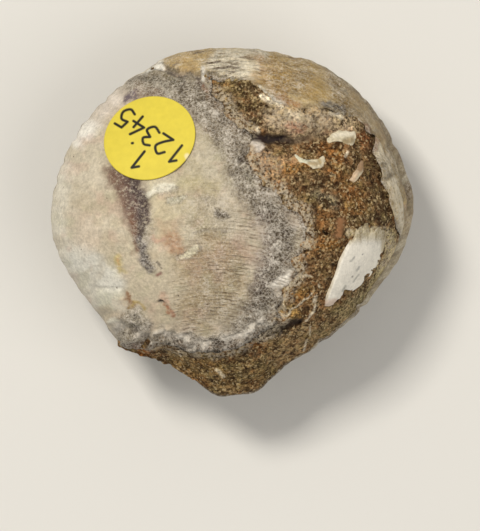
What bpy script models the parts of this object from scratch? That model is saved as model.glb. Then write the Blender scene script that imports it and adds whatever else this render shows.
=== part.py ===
"""Fossil bivalve: two shell valves closed on a filling of brown sandstone, with a paper dot label.

It lies on its lower valve. The upper valve is half broken away, which lays the filling bare.
Lengths are in millimetres until a mesh is written, in metres. +X runs along the shell, +Y from the
beak to the open edge of the valves, +Z up. The origin is on the resting face, under the middle.
"""

import math

import bmesh
import bpy
import numpy as np

MM = 0.001

# Overall form
EQUATOR_Z = 9.0  # height of the widest outline
LIP = 1.2  # the lower valve curls in over this height above the equator
COMMISSURE_Z = EQUATOR_Z + LIP
LOWER_DROP = 9.35  # deeper than EQUATOR_Z, so the belly is worn flat where it rests
UPPER_RISE = 10.5
DOME_CENTRE = np.array([0.0, -1.5])
BARREL_VENTRAL = 0.55  # share of the upper valve's height lost along +Y, before its steep edge
BARREL_DORSAL = 0.45  # along -Y
BARREL_ACROSS = 0.1  # and along X
UMBO = np.array([0.8, -13.4])  # every growth line is the margin shrunk towards this point
ROUND_RADIUS = 17.0  # of the round outline that a young shell had
UPPER_SHELL = 1.1
LOWER_SHELL = 1.3
GAP = 0.3  # clearance between neighbouring solids
CORE_INSET = 1.9  # of the filling inside the lower valve
WORN = 0.6  # outer shell layer lost from the left and middle of the upper valve
BARED = 0.9  # depth of the bare filling below the shell's outer face

# Growth ledges, closer together towards the margin
LEDGES = 15
LEDGE_CROWDING = 0.8
LEDGE_HEIGHT = 0.22
AROUND = 60  # columns of each lofted form
INNER_SHARES = (0.3, 0.6, 0.8, 0.92, 0.98)  # rings of a face with no growth lines

# Label
LABEL_CENTRE = np.array([-8.4, 8.4])
LABEL_RADIUS = 4.75
LABEL_THICKNESS = 0.2
LABEL_BEND = 0.7

# Widest outline, anticlockwise from +X: round, with the beak at the bottom and a bevel on its left
MARGIN = [
    (18.5, 0.6), (18.4, 3.4), (17.2, 6.7), (15.5, 10.1), (12.9, 13.3), (9.2, 16.0),
    (4.6, 17.3), (-0.3, 17.75), (-4.9, 17.25), (-9.0, 15.6), (-12.8, 12.7), (-15.7, 9.4),
    (-17.6, 5.6), (-18.5, 1.6), (-18.3, -2.1), (-16.6, -5.6), (-13.9, -9.2), (-12.2, -11.6),
    (-11.0, -13.1), (-9.0, -13.6), (-6.6, -14.4), (-4.1, -16.1), (-1.8, -17.7), (0.3, -17.8),
    (2.6, -17.3), (5.6, -14.7), (9.0, -12.5), (12.6, -9.6), (15.4, -6.2), (17.4, -3.1),
]

# Broken edge of the upper valve: along the ridged rim, from the left end to the right end
RIM_EDGE = [
    (-2.5, 15.2), (-1.0, 14.9), (1.3, 14.4), (2.9, 13.3), (4.9, 11.9), (6.9, 11.3), (9.5, 11.4),
    (12.5, 10.6), (14.5, 8.7), (14.5, 7.2), (15.1, 5.1), (15.9, 2.9), (16.4, 0.6), (17.2, -1.6),
]
# and along the worn disc, from the bottom left to the rim's left end
DISC_EDGE = [
    (-10.9, -12.9), (-8.4, -12.9), (-7.2, -12.4), (-4.8, -13.3), (-2.0, -13.6), (0.4, -13.0),
    (2.9, -11.7), (4.8, -9.8), (4.4, -9.0), (5.4, -7.0), (6.6, -5.3), (6.3, -3.9), (7.5, -2.1),
    (7.3, 0.8), (5.8, 1.6), (4.5, 3.4), (3.0, 3.6), (2.0, 5.9), (1.6, 7.2), (2.5, 9.2),
    (1.4, 10.6), (-0.5, 11.2), (-0.9, 12.1), (-2.4, 13.1),
]
RIM_NOTCH = [(-8.6, 16.4), (-5.8, 15.6), (-3.6, 15.3)]  # where the ridged layer ends on the left
BEYOND = 24.0  # well outside the fossil

# Loose remnants of shell on the filling
FLAKE = [
    (11.5, -2.2), (12.4, -1.1), (14.9, -0.9), (15.7, -1.4), (15.4, -2.9), (15.0, -4.4), (13.9, -5.9),
    (12.7, -7.2), (11.6, -7.5), (10.9, -8.2), (9.6, -8.6), (9.8, -7.1), (10.8, -4.2),
]
FLAKE_SUNK = 0.5  # below the shell's old outer face
FLAKE_THICKNESS = 0.8
CHIPS = {
    "shell_chip_long": [(9.5, 8.4), (11.0, 9.2), (12.5, 9.2), (12.5, 8.2), (11.6, 7.7), (10.4, 7.9)],
    "shell_chip_curved": [(6.4, 6.7), (7.9, 6.2), (9.3, 6.6), (9.4, 5.9), (8.5, 5.4), (7.0, 5.9)],
    "shell_chip_short": [(13.0, 6.5), (13.5, 6.1), (13.3, 4.9), (12.4, 4.0), (11.9, 4.3), (12.6, 5.5)],
}
CHIP_THICKNESS = 0.55

# Crevices in the filling: middle, half length, half width, turn in degrees, depth
CREVICES = [
    ((4.6, 8.4), 2.6, 0.8, -4.0, 0.9),
    ((4.7, -11.2), 2.4, 0.9, 24.0, 0.8),
    ((9.6, 11.2), 1.2, 0.7, 0.0, 0.5),
]

COLOURS = {
    "upper_valve": ((0.56, 0.48, 0.35), 0.75),
    "lower_valve": ((0.42, 0.33, 0.20), 0.8),
    "sandstone_filling": ((0.17, 0.10, 0.045), 0.95),
    "shell_flake": ((0.62, 0.58, 0.49), 0.7),
    "shell_chip": ((0.60, 0.52, 0.36), 0.7),
    "label": ((0.83, 0.67, 0.06), 0.6),
}


def smooth_loop(points, count):
    """Closed Catmull-Rom curve through the points, as count points an equal length apart."""
    b = np.array(points, float)
    a, c, d = (np.roll(b, k, axis=0) for k in (1, -1, -2))
    t = np.linspace(0.0, 1.0, 16, endpoint=False)[:, None, None]
    curve = 0.5 * (2 * b + (c - a) * t + (2 * a - 5 * b + 4 * c - d) * t**2 + (3 * b - a - 3 * c + d) * t**3)
    curve = curve.transpose(1, 0, 2).reshape(-1, 2)
    closed = np.vstack([curve, curve[:1]])
    along = np.concatenate([[0.0], np.cumsum(np.linalg.norm(np.diff(closed, axis=0), axis=1))])
    at = np.linspace(0.0, along[-1], count, endpoint=False)
    return np.stack([np.interp(at, along, closed[:, k]) for k in (0, 1)], axis=1)


OUTLINE = smooth_loop(MARGIN, 360)


def bearing(xy):
    """Direction of each point from the dome's centre, in radians."""
    return np.arctan2(xy[:, 1] - DOME_CENTRE[1], xy[:, 0] - DOME_CENTRE[0])


def reach(angle):
    """Distance from the dome's centre to the widest outline, in each direction."""
    angles = bearing(OUTLINE)
    order = np.argsort(angles)
    lengths = np.linalg.norm(OUTLINE - DOME_CENTRE, axis=1)
    return np.interp(angle, angles[order], lengths[order], period=2 * math.pi)


def soft_reach(angle):
    """The reach averaged over 60 degrees, which leaves out the outline's corners."""
    return np.mean([reach(angle + math.radians(turn)) for turn in range(-30, 31, 10)], axis=0)


def lip_inset(angle):
    """How far the lower valve's lip curls in: most on the right, where the valves have slipped."""
    return 0.15 + 0.7 * np.clip(np.cos(angle - math.radians(12)), 0, 1) ** 4


def inset(xy, distance):
    """Points of an outline moved towards the dome's centre."""
    away = xy - DOME_CENTRE
    length = np.linalg.norm(away, axis=1, keepdims=True)
    return xy - away / length * np.reshape(distance, (-1, 1))


def share_out(xy, margin_inset):
    """How far each point lies from the dome's centre (0) to the margin of that inset (1).

    The lines of equal share are round in the middle and take on the outline's corners near it.
    """
    angle = bearing(xy)
    away = np.linalg.norm(xy - DOME_CENTRE, axis=1)
    share = np.clip(away / (reach(angle) - margin_inset), 0, 1)
    round_share = np.clip(away / (soft_reach(angle) - margin_inset), 0, 1)
    return round_share + (share - round_share) * share**3


def upper_face(xy, sunk=0.0):
    """Height of the upper valve's outer face, or of a face that lies sunk below it.

    It is barrel-shaped: rho^5 makes its sides steep, and it curves down mostly towards +Y and -Y.
    """
    rho = share_out(xy, lip_inset(bearing(xy)) + sunk)
    along, across = rho * np.sin(bearing(xy)), rho * np.cos(bearing(xy))
    fall = np.where(along > 0, BARREL_VENTRAL, BARREL_DORSAL) * along**2 + BARREL_ACROSS * across**2
    return COMMISSURE_Z + GAP + (UPPER_RISE - sunk) * (1 - fall) * (1 - rho**5) ** 0.55


def lower_face(xy, sunk=0.0):
    """Height of the lower valve's outer face, worn flat at the bottom, or of a face inside it."""
    rho = share_out(xy, sunk)
    return np.maximum(EQUATOR_Z - (LOWER_DROP - sunk) * (1 - rho**2.6) ** 0.6, sunk * 1.05)


def side_of(path, xy):
    """Distance from each point to an open path, in plan."""
    path = np.array(path, float)
    start, step = path[:-1], np.diff(path, axis=0)
    offset = xy[:, None] - start[None]
    share = np.clip((offset * step).sum(2) / (step**2).sum(1), 0, 1)
    return np.linalg.norm(offset - share[..., None] * step, axis=2).min(1)


def inside(polygon, xy):
    """True for points inside a closed polygon, by counting its crossings on one side."""
    a = np.array(polygon, float)
    b = np.roll(a, -1, axis=0)
    x, y = xy[:, :1], xy[:, 1:]
    spans = (a[:, 1] > y) != (b[:, 1] > y)
    rise = np.where(b[:, 1] == a[:, 1], 1e-9, b[:, 1] - a[:, 1])
    crossing = a[:, 0] + (y - a[:, 1]) / rise * (b[:, 0] - a[:, 0])
    return (spans & (x < crossing)).sum(1) % 2 == 1


RIM_REGION = RIM_NOTCH + RIM_EDGE + [(BEYOND, -4.0), (BEYOND, BEYOND), (-8.6, BEYOND)]
BAY = RIM_EDGE + [(BEYOND, -3.0), (BEYOND, -BEYOND), (-11.0, -BEYOND)] + DISC_EDGE


def ridged(xy):
    """1 on the rim, which keeps its ridged outer layer, and 0 on the worn disc, over 0.8 mm."""
    signed = side_of(RIM_NOTCH + RIM_EDGE, xy) * np.where(inside(RIM_REGION, xy), 1, -1)
    return np.clip(signed / 0.8 + 0.5, 0, 1)


def lumps(xy):
    """Uneven broken sandstone, as crossed waves of about 2 to 5 mm, in millimetres."""
    x, y = xy.T
    return 0.16 * np.sin(1.9 * x + 0.8 * y) * np.sin(1.3 * y - 0.7) + 0.12 * np.sin(2.7 * y - 1.6 * x + 1.0)


def crevices(xy):
    """Depth of the crevices: each a hollow with an elliptical, bell-shaped outline."""
    depth = np.zeros(len(xy))
    for middle, half_length, half_width, turn, deepest in CREVICES:
        c, s = math.cos(math.radians(turn)), math.sin(math.radians(turn))
        offset = xy - np.array(middle)
        u = (offset @ [c, s]) / half_length
        v = (offset @ [-s, c]) / half_width
        depth += deepest * np.exp(-((u**2 + v**2) ** 1.5))
    return depth


def filling_face(xy):
    """Height of the bare sandstone, which falls away lower towards the beak."""
    fall = BARED + 0.7 * np.clip((-10.0 - xy[:, 1]) / 4.0, 0, 1)
    rise = upper_face(xy) - COMMISSURE_Z - GAP
    fade = np.clip(rise / 3.0, 0, 1)
    return COMMISSURE_Z + GAP + rise - fade * (fall - lumps(xy) + crevices(xy))


def shrunk(margin, share, centre):
    """An outline scaled down towards a point."""
    return centre + share * (margin - centre)


def growth_line(margin, share):
    """The shell's outline at that share of its size: rounder than the margin, and near the umbo."""
    angle = bearing(margin)[:, None]
    disc = DOME_CENTRE + ROUND_RADIUS * np.hstack([np.cos(angle), np.sin(angle)])
    return shrunk(margin + 0.6 * (1 - share) * (disc - margin), share, UMBO)


def ledge_height(share, margin):
    """Saw-toothed growth ledges, lower near the beak, where the growth lines crowd together."""
    tooth = LEDGES * share ** (1 / LEDGE_CROWDING) % 1.0
    crowding = np.clip(np.linalg.norm(margin - UMBO, axis=1) / 14.0, 0, 1)
    return LEDGE_HEIGHT * tooth * crowding * min(1.0, share * 2.5)


def swell(ring, height):
    """A ring of points pushed outwards from the fossil's middle."""
    away = ring - np.array([*DOME_CENTRE, EQUATOR_Z])
    return ring + away / np.linalg.norm(away, axis=1, keepdims=True) * np.reshape(height, (-1, 1))


def ring_at(xy, z):
    return np.column_stack([xy, np.broadcast_to(z, len(xy))])


def ledge_shares(first):
    """Two growth lines for each ledge: one at its foot and one at its crest, up to the margin."""
    ledges = np.arange(first, LEDGES)
    return np.sort(np.concatenate([ledges[1:] + 0.01, ledges + 0.86]) / LEDGES) ** LEDGE_CROWDING


def material(name):
    colour, roughness = COLOURS[name]
    made = bpy.data.materials.new(name)
    made.use_nodes = True
    shader = made.node_tree.nodes["Principled BSDF"]
    shader.inputs["Base Color"].default_value = (*colour, 1.0)
    shader.inputs["Roughness"].default_value = roughness
    shader.inputs["Metallic"].default_value = 0.0
    return made


def finish(mesh_maker, name, finish_name):
    """One object from a bmesh in millimetres, written in metres."""
    if mesh_maker.calc_volume(signed=True) < 0:
        bmesh.ops.reverse_faces(mesh_maker, faces=mesh_maker.faces)
    bmesh.ops.scale(mesh_maker, vec=(MM, MM, MM), verts=mesh_maker.verts)
    mesh = bpy.data.meshes.new(name)
    mesh_maker.to_mesh(mesh)
    mesh_maker.free()
    made = bpy.data.objects.new(name, mesh)
    bpy.context.scene.collection.objects.link(made)
    if finish_name:
        mesh.materials.append(material(finish_name))
        mesh.shade_smooth()
        mesh.set_sharp_from_angle(angle=math.radians(35))
    return made


def loft(first_pole, rings, last_pole, name, finish_name=None):
    """Closed skin from one pole, over rings of equally many points, to the other pole."""
    maker = bmesh.new()
    start, end = maker.verts.new(first_pole), maker.verts.new(last_pole)
    rows = [[maker.verts.new(p) for p in ring] for ring in rings]
    count = len(rows[0])
    for k in range(count):
        after = (k + 1) % count
        maker.faces.new((start, rows[0][k], rows[0][after]))
        maker.faces.new((end, rows[-1][after], rows[-1][k]))
        for low, high in zip(rows, rows[1:]):
            maker.faces.new((low[k], high[k], high[after], low[after]))
    return finish(maker, name, finish_name)


def prism(polygon, bottom, top, name):
    """Upright prism on a plan outline, for cutting."""
    maker = bmesh.new()
    base = maker.faces.new([maker.verts.new((x, y, bottom)) for x, y in polygon])
    raised = bmesh.ops.extrude_face_region(maker, geom=[base])["geom"]
    moved = [item for item in raised if isinstance(item, bmesh.types.BMVert)]
    bmesh.ops.translate(maker, vec=(0, 0, top - bottom), verts=moved)
    bmesh.ops.recalc_face_normals(maker, faces=maker.faces)
    return as_cutter(finish(maker, name, None))


def as_cutter(made):
    made.hide_render = True
    made.display_type = "WIRE"
    return made


def boolean(target, operation, tool):
    cut = target.modifiers.new(operation.lower() + "_" + tool.name, "BOOLEAN")
    cut.operation = operation
    cut.solver = "EXACT"
    cut.object = tool
    return target


def grown(polygon, distance):
    """A plan polygon with each side moved outwards by that distance."""
    p = np.array(polygon, float)
    if np.cross(p, np.roll(p, -1, axis=0)).sum() < 0:
        p = p[::-1]
    side = np.roll(p, -1, axis=0) - p
    side /= np.linalg.norm(side, axis=1, keepdims=True)
    normal = np.column_stack([side[:, 1], -side[:, 0]])
    before = np.roll(normal, 1, axis=0)
    corner = (normal + before) / (1 + (normal * before).sum(1, keepdims=True)).clip(0.5)
    return p + distance * corner


def upper_cup(sunk_outside, shell, foot, name, finish_name=None, ridges=True):
    """A whole upper valve, before any is lost: inner face, rim and outer face."""
    margin = smooth_loop(MARGIN, AROUND)
    outer_margin = inset(margin, lip_inset(bearing(margin)) + sunk_outside)
    inner_margin = inset(margin, lip_inset(bearing(margin)) + shell)
    rings = []
    for share in INNER_SHARES:
        xy = shrunk(inner_margin, share, DOME_CENTRE)
        rings.append(ring_at(xy, upper_face(xy, shell)))
    rings += [ring_at(inner_margin, foot), ring_at(outer_margin, foot)]
    top = UMBO if ridges else DOME_CENTRE
    shares = np.concatenate([[0.15, 0.3, 0.45, 0.58], ledge_shares(11)]) if ridges else INNER_SHARES
    for share in shares[::-1]:
        xy = growth_line(outer_margin, share) if ridges else shrunk(outer_margin, share, top)
        ring = ring_at(xy, upper_face(xy, sunk_outside))
        if ridges:
            keep = ridged(xy)
            ring = swell(ring, keep * ledge_height(share, margin) - (1 - keep) * WORN)
            ring[:, 2] = np.maximum(ring[:, 2], foot + 0.05)
        rings.append(ring)
    start = (*DOME_CENTRE, upper_face(DOME_CENTRE[None], shell)[0])
    end = ring_at(top[None], upper_face(top[None], sunk_outside))
    end = swell(end, -WORN if ridges else 0.0)[0]
    return loft(start, rings, end, name, finish_name)


def lower_valve():
    """The valve underneath: a ledged bowl whose lip curls in to the commissure."""
    margin = smooth_loop(MARGIN, AROUND)
    inner = inset(margin, LOWER_SHELL)
    curl = lip_inset(bearing(margin))
    rings = []
    for share in np.concatenate([[0.15, 0.3], ledge_shares(5)]):
        xy = growth_line(margin, share)
        ring = ring_at(xy, lower_face(xy))
        ring = swell(ring, ledge_height(share, margin) * min(1, 4 * (1 - share)))
        ring[:, 2] = np.maximum(ring[:, 2], 0.0)
        rings.append(ring)
    rings.append(ring_at(margin, EQUATOR_Z))
    rings.append(ring_at(inset(margin, 0.35 * curl), EQUATOR_Z + 0.6 * LIP))
    rings.append(ring_at(inset(margin, curl), COMMISSURE_Z))
    rings.append(ring_at(inner, COMMISSURE_Z))
    for share in (1.0, *INNER_SHARES[::-1]):
        xy = shrunk(inner, share, DOME_CENTRE)
        rings.append(ring_at(xy, lower_face(xy, LOWER_SHELL)))
    start = (*UMBO, lower_face(UMBO[None])[0])
    end = (*DOME_CENTRE, lower_face(DOME_CENTRE[None], LOWER_SHELL)[0])
    return loft(start, rings, end, "lower_valve", "lower_valve")


def filling_form():
    """The sandstone before the shell's remnants are let into it: a core that fills both valves."""
    margin = smooth_loop(MARGIN, AROUND)
    core = inset(margin, CORE_INSET)
    angle = bearing(margin)
    overhang = 0.45 * np.exp(-(((np.degrees(angle) + 120.0) / 16.0) ** 2))
    brim = inset(margin, lip_inset(angle) + 0.15 - overhang)
    foot = COMMISSURE_Z + GAP
    rings = []
    for share in (*INNER_SHARES, 1.0):
        xy = shrunk(core, share, DOME_CENTRE)
        rings.append(ring_at(xy, lower_face(xy, LOWER_SHELL + GAP)))
    rings += [ring_at(core, foot), ring_at(brim, foot), ring_at(brim, foot + 0.35)]
    for share in (0.985, 0.96, 0.92, 0.88, 0.83, 0.77, 0.71, 0.64, 0.57, 0.49, 0.4, 0.28, 0.14):
        xy = shrunk(brim, share, DOME_CENTRE)
        rings.append(ring_at(xy, np.maximum(filling_face(xy), foot + 0.4)))
    start = (*DOME_CENTRE, lower_face(DOME_CENTRE[None], LOWER_SHELL + GAP)[0])
    end = (*DOME_CENTRE, filling_face(DOME_CENTRE[None])[0])
    return loft(start, rings, end, "sandstone_filling", "sandstone_filling")


def slab(polygon, bottom, thickness, count, name, finish_name):
    """A thin piece of that plan outline which follows the face below it, thinner at its edge."""
    edge = smooth_loop(polygon, count) if len(polygon) != count else np.array(polygon)
    middle = edge.mean(0)
    rings = []
    for share in (0.5, 1.0):
        xy = middle + share * (edge - middle)
        rings.append(ring_at(xy, bottom(xy)))
    for share, height in ((1.0, 0.5), (0.85, 0.95), (0.5, 1.0)):
        xy = middle + share * (edge - middle)
        rings.append(ring_at(xy, bottom(xy) + height * thickness))
    low = bottom(middle[None])[0]
    return loft((*middle, low), rings, (*middle, low + thickness), name, finish_name)


def label_disc():
    """The paper dot, pressed onto the worn shell."""
    turn = np.linspace(0, 2 * math.pi, 36, endpoint=False)
    edge = np.column_stack([np.cos(turn), np.sin(turn)])

    step = 0.5
    around = LABEL_CENTRE + step * np.array([(0, 0), (1, 0), (-1, 0), (0, 1), (0, -1)])
    centre, east, west, north, south = upper_face(around) + GAP - WORN
    slope = np.array([east - west, north - south]) / (2 * step)

    def seat(xy):
        """Paper bends only part of the way from its tangent plane down to the shell."""
        plane = centre + (xy - LABEL_CENTRE) @ slope
        shell = upper_face(xy) + GAP - WORN
        return ring_at(xy, plane + LABEL_BEND * (shell - plane))

    raised = np.array([*-slope, 1.0])
    raised *= LABEL_THICKNESS / np.linalg.norm(raised)
    tilt = math.atan(np.linalg.norm(slope))
    downhill = -slope / np.linalg.norm(slope)
    edge -= np.outer(edge @ downhill, downhill) * (1 - math.cos(tilt))
    rings = [seat(LABEL_CENTRE + LABEL_RADIUS * share * edge) for share in (0.35, 0.7, 1.0)]
    top = [ring + raised for ring in reversed(rings)]
    first = seat(LABEL_CENTRE[None])[0]
    return loft(first, rings + top, first + raised, "label", "label")


def build():
    for old in list(bpy.data.objects):
        bpy.data.objects.remove(old)

    lower_valve()
    foot = COMMISSURE_Z + GAP

    bay = prism(BAY, 0.0, 40.0, "bay_cutter")
    upper = upper_cup(0.0, UPPER_SHELL, foot, "upper_valve", "upper_valve")
    boolean(upper, "DIFFERENCE", bay)

    flake_inside = FLAKE_SUNK + FLAKE_THICKNESS
    flake = upper_cup(FLAKE_SUNK, flake_inside, foot, "shell_flake", "shell_flake", ridges=False)
    boolean(flake, "INTERSECT", prism(FLAKE, 0.0, 40.0, "flake_cutter"))

    filling = filling_form()
    room = as_cutter(upper_cup(-4.0, UPPER_SHELL + GAP, foot - GAP, "shell_room", ridges=False))
    boolean(room, "DIFFERENCE", prism(grown(BAY, -GAP), -5.0, 60.0, "bay_less_gap"))
    boolean(filling, "DIFFERENCE", room)
    flake_room = as_cutter(upper_cup(-4.0, flake_inside + GAP, foot - GAP, "flake_room", ridges=False))
    boolean(flake_room, "INTERSECT", prism(grown(FLAKE, GAP), -5.0, 60.0, "flake_plus_gap"))
    boolean(filling, "DIFFERENCE", flake_room)

    for name, polygon in CHIPS.items():
        slab(polygon, lambda xy: filling_face(xy) + GAP, CHIP_THICKNESS, 12, name, "shell_chip")
    label_disc()


build()
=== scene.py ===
# %% [markdown]
# # A fossil bivalve in shell, sandstone and paper
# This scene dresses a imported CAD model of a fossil: two shell valves closed on brown sandstone, one of
# them half broken away, with a round paper dot stuck on top. The CAD solids are faceted and plain. Here
# each one is made again as a fine surface with growth lines, pits, sand grains and stains, in the same
# place and size, so that what MuJoCo collides and what the eye sees stay one object.

# %% Load the frame
import math
from functools import partial

import bpy
import numpy as np
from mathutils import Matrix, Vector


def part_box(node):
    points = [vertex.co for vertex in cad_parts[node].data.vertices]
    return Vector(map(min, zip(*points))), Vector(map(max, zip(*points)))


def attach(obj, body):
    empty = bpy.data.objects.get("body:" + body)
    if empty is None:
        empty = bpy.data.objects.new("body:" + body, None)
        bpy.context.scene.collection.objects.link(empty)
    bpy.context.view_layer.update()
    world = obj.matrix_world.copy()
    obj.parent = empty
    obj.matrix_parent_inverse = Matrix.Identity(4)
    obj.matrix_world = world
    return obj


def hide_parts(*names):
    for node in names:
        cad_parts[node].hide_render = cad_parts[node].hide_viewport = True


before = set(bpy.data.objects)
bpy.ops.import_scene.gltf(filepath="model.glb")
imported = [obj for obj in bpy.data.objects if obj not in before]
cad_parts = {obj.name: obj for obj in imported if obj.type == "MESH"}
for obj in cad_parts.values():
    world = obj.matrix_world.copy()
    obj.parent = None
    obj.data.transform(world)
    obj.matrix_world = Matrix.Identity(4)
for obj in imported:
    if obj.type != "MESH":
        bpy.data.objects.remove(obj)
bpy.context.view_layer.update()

MM = 0.001  # every shape below is worked out in millimetres

# %% [markdown]
# ## Roughness from numbers
# Worn shell and sandstone are rough at every size. Noise that is cheap and repeatable comes from random
# numbers on a lattice, blended smoothly in between; summing it at halving sizes gives lumps on lumps.
# Pits come from scattered spots: one random spot in each lattice cell, and the distance to the nearest.

# %% Noise, lumps and pits
LATTICE = 32  # cells before the random numbers repeat


def spread(xy):
    """Plan points as 3-D ones, for noise that doesn't change with height."""
    return np.concatenate([xy, np.zeros(xy.shape[:-1] + (1,))], axis=-1)


def noise(points, size, seed):
    """Smooth random values from -1 to 1: lattice numbers, a size apart in mm, blended by 3f^2 - 2f^3."""
    numbers = np.random.default_rng(seed).uniform(-1, 1, (LATTICE,) * 3)
    cell = np.floor(points / size).astype(int)
    f = points / size - cell
    f = f * f * (3 - 2 * f)
    total = 0.0
    for corner in np.ndindex(2, 2, 2):
        weight = np.prod(np.where(corner, f, 1 - f), axis=-1)
        total = total + weight * numbers[tuple(np.moveaxis((cell + corner) % LATTICE, -1, 0))]
    return total


def rough(points, size, seed, octaves=3):
    """Noise plus half as much of it at half the size, and so on, kept to about -1 to 1."""
    return sum(noise(points, size / 2**k, seed + k) / 2**k for k in range(octaves)) / 1.4


def spots(points, size, seed):
    """Distance from each point to the nearest of the scattered spots, in spot spacings."""
    places = np.random.default_rng(seed).uniform(0, 1, (LATTICE,) * 3 + (3,))
    cell = np.floor(points / size).astype(int)
    nearest = np.full(points.shape[:-1], 9.0)
    for step in np.ndindex(3, 3, 3):
        there = cell + np.array(step) - 1
        spot = there + places[tuple(np.moveaxis(there % LATTICE, -1, 0))]
        nearest = np.minimum(nearest, np.linalg.norm(points / size - spot, axis=-1))
    return nearest


def ease(x):
    """0 below 0, 1 above 1, and 3x^2 - 2x^3 between."""
    x = np.clip(x, 0, 1)
    return x * x * (3 - 2 * x)


print("noise at the origin:", noise(np.zeros((1, 3)), 1.0, 1).round(2))

# %% [markdown]
# ## The outline of the shell
# Seen from above, a bivalve is nearly a circle with a beak. A spline through a few points gives such an
# outline, and it is easier to steer than a formula when one side is bevelled and broken. Wear is added
# last: fine noise, and nicks where the edge has chipped.

# %% The outline
DOME_CENTRE = np.array([0.0, -1.5])
UMBO = np.array([0.8, -13.4])  # the oldest part of the shell, where every growth line starts
MARGIN = [
    (18.5, 0.6), (18.4, 3.4), (17.2, 6.7), (15.5, 10.1), (12.9, 13.3), (9.2, 16.0),
    (4.6, 17.3), (-0.3, 17.75), (-4.9, 17.25), (-9.0, 15.6), (-12.8, 12.7), (-15.7, 9.4),
    (-17.6, 5.6), (-18.5, 1.6), (-18.3, -2.1), (-16.6, -5.6), (-13.9, -9.2), (-12.2, -11.6),
    (-11.0, -13.1), (-9.0, -13.6), (-6.6, -14.4), (-4.1, -16.1), (-1.8, -17.7), (0.3, -17.8),
    (2.6, -17.3), (5.6, -14.7), (9.0, -12.5), (12.6, -9.6), (15.4, -6.2), (17.4, -3.1),
]
NICKS = [  # bearing and depth of each nick and its half width, in degrees, mm and degrees; below 0 is a bump
    (118, 0.25, 2.2), (126, 0.12, 1.0), (133.5, 0.18, 1.0), (140.5, 0.12, 1.2), (148, 0.2, 1.0),
    (156.5, 0.18, 1.0), (163, 0.1, 1.2), (79, 0.1, 1.2), (71, 0.15, 1.2), (57, 0.12, 1.5),
    (47, 0.1, 1.2), (39, 0.1, 1.0), (30, 0.15, 1.3), (224, -0.2, 1.2), (228, 0.15, 1.0),
    (233, -0.12, 1.0), (238, 0.2, 1.2), (244, 0.15, 1.0), (310, 0.2, 1.5), (331, 0.2, 1.2),
]


def spline(points, steps, closed=False):
    """Catmull-Rom curve: from b to c it is the cubic that leaves along c - a and arrives along d - b."""
    p = np.array(points, float)
    a, b, c, d = (np.roll(p, k, axis=0) for k in (1, 0, -1, -2))
    if not closed:
        longer = np.vstack([2 * p[:1] - p[1:2], p, 2 * p[-1:] - p[-2:-1]])
        a, b, c, d = (longer[k:k + len(p) - 1] for k in range(4))
    t = np.linspace(0, 1, steps, endpoint=False)[:, None, None]
    curve = 0.5 * (2 * b + (c - a) * t + (2 * a - 5 * b + 4 * c - d) * t**2 + (3 * b - a - 3 * c + d) * t**3)
    return np.vstack([curve.transpose(1, 0, 2).reshape(-1, 2), p[-1:]][:1 if closed else 2])


def bearing(xy, centre=DOME_CENTRE):
    """Direction of each point from a centre, in radians."""
    return np.arctan2(xy[..., 1] - centre[1], xy[..., 0] - centre[0])


def weathered(outline):
    """An outline moved in and out by fine noise and by the nicks in its edge."""
    away = outline - DOME_CENTRE
    out = 0.08 * rough(spread(outline), 0.9, 9)
    for at, depth, half_width in NICKS:
        off = (np.degrees(bearing(outline)) - at + 180) % 360 - 180
        out = out - depth * np.exp(-((off / half_width) ** 2))
    return outline + away / np.linalg.norm(away, axis=1, keepdims=True) * out[:, None]


OUTLINE = weathered(spline(MARGIN, 30, closed=True))
print("outline:", len(OUTLINE), "points,", np.round(np.ptp(OUTLINE, axis=0), 1), "mm across")

# %% [markdown]
# ### Where a point lies
# Everything else is measured from the outline: how far out a point lies, from the middle (0) to the
# edge (1), decides how high the shell stands there.

# %% Where a point lies


def reach(angle, centre=DOME_CENTRE):
    """Distance from a centre to the outline in each direction."""
    angles = bearing(OUTLINE, centre)
    order = np.argsort(angles)
    return np.interp(angle, angles[order], np.linalg.norm(OUTLINE - centre, axis=1)[order], period=math.tau)


def share_out(xy, margin_inset=0.0, centre=DOME_CENTRE):
    """0 at a centre and 1 at the margin. Lines of equal share start round and take on its corners later."""
    angle = bearing(xy, centre)
    away = np.linalg.norm(xy - centre, axis=-1)
    exact = np.clip(away / (reach(angle, centre) - margin_inset), 0, 1)
    turns = np.radians(np.arange(-30, 31, 10))
    mean_reach = np.mean([reach(angle + turn, centre) for turn in turns], axis=0)
    round_share = np.clip(away / (mean_reach - margin_inset), 0, 1)
    return round_share + (exact - round_share) * exact**3


print("shares at the middle and outside:", share_out(np.array([DOME_CENTRE, DOME_CENTRE + 40])).round(2))

# %% [markdown]
# ## Two domes
# The upper valve rises steeply from its edge and is nearly flat on top, so 1 - share^5 fits it better
# than a sphere would. The lower one is an even bowl, worn flat where it rests. Both heights come from
# the frame, so the surfaces lie on the CAD solids.

# %% Heights of the two valves
COMMISSURE_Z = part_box("lower_valve")[1][2] / MM  # the plane where the two valves meet
LIP = 1.2  # the lower valve curls in over this height
EQUATOR_Z = COMMISSURE_Z - LIP
UPPER_FOOT = COMMISSURE_Z + 0.08
UPPER_RISE = 10.5
UPPER_BASE = COMMISSURE_Z + 0.3  # the plane that the upper dome rises from
LOWER_DROP = 9.35
UPPER_SHELL = 1.1
LOWER_SHELL = 1.3
WORN = 0.6  # outer layer lost from the middle and left of the upper valve
BARED = 0.9  # depth of the sandstone below the shell's outer face
SLIP = 0.8  # how far the valves have slipped past each other
SLIP_BEARING = math.radians(12)


def lip_inset(angle):
    """How far the lower valve's lip curls in: 0.05 plus the slip times cos^4 of the bearing from it."""
    return 0.05 + SLIP * np.clip(np.cos(angle - SLIP_BEARING), 0, 1) ** 4


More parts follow.
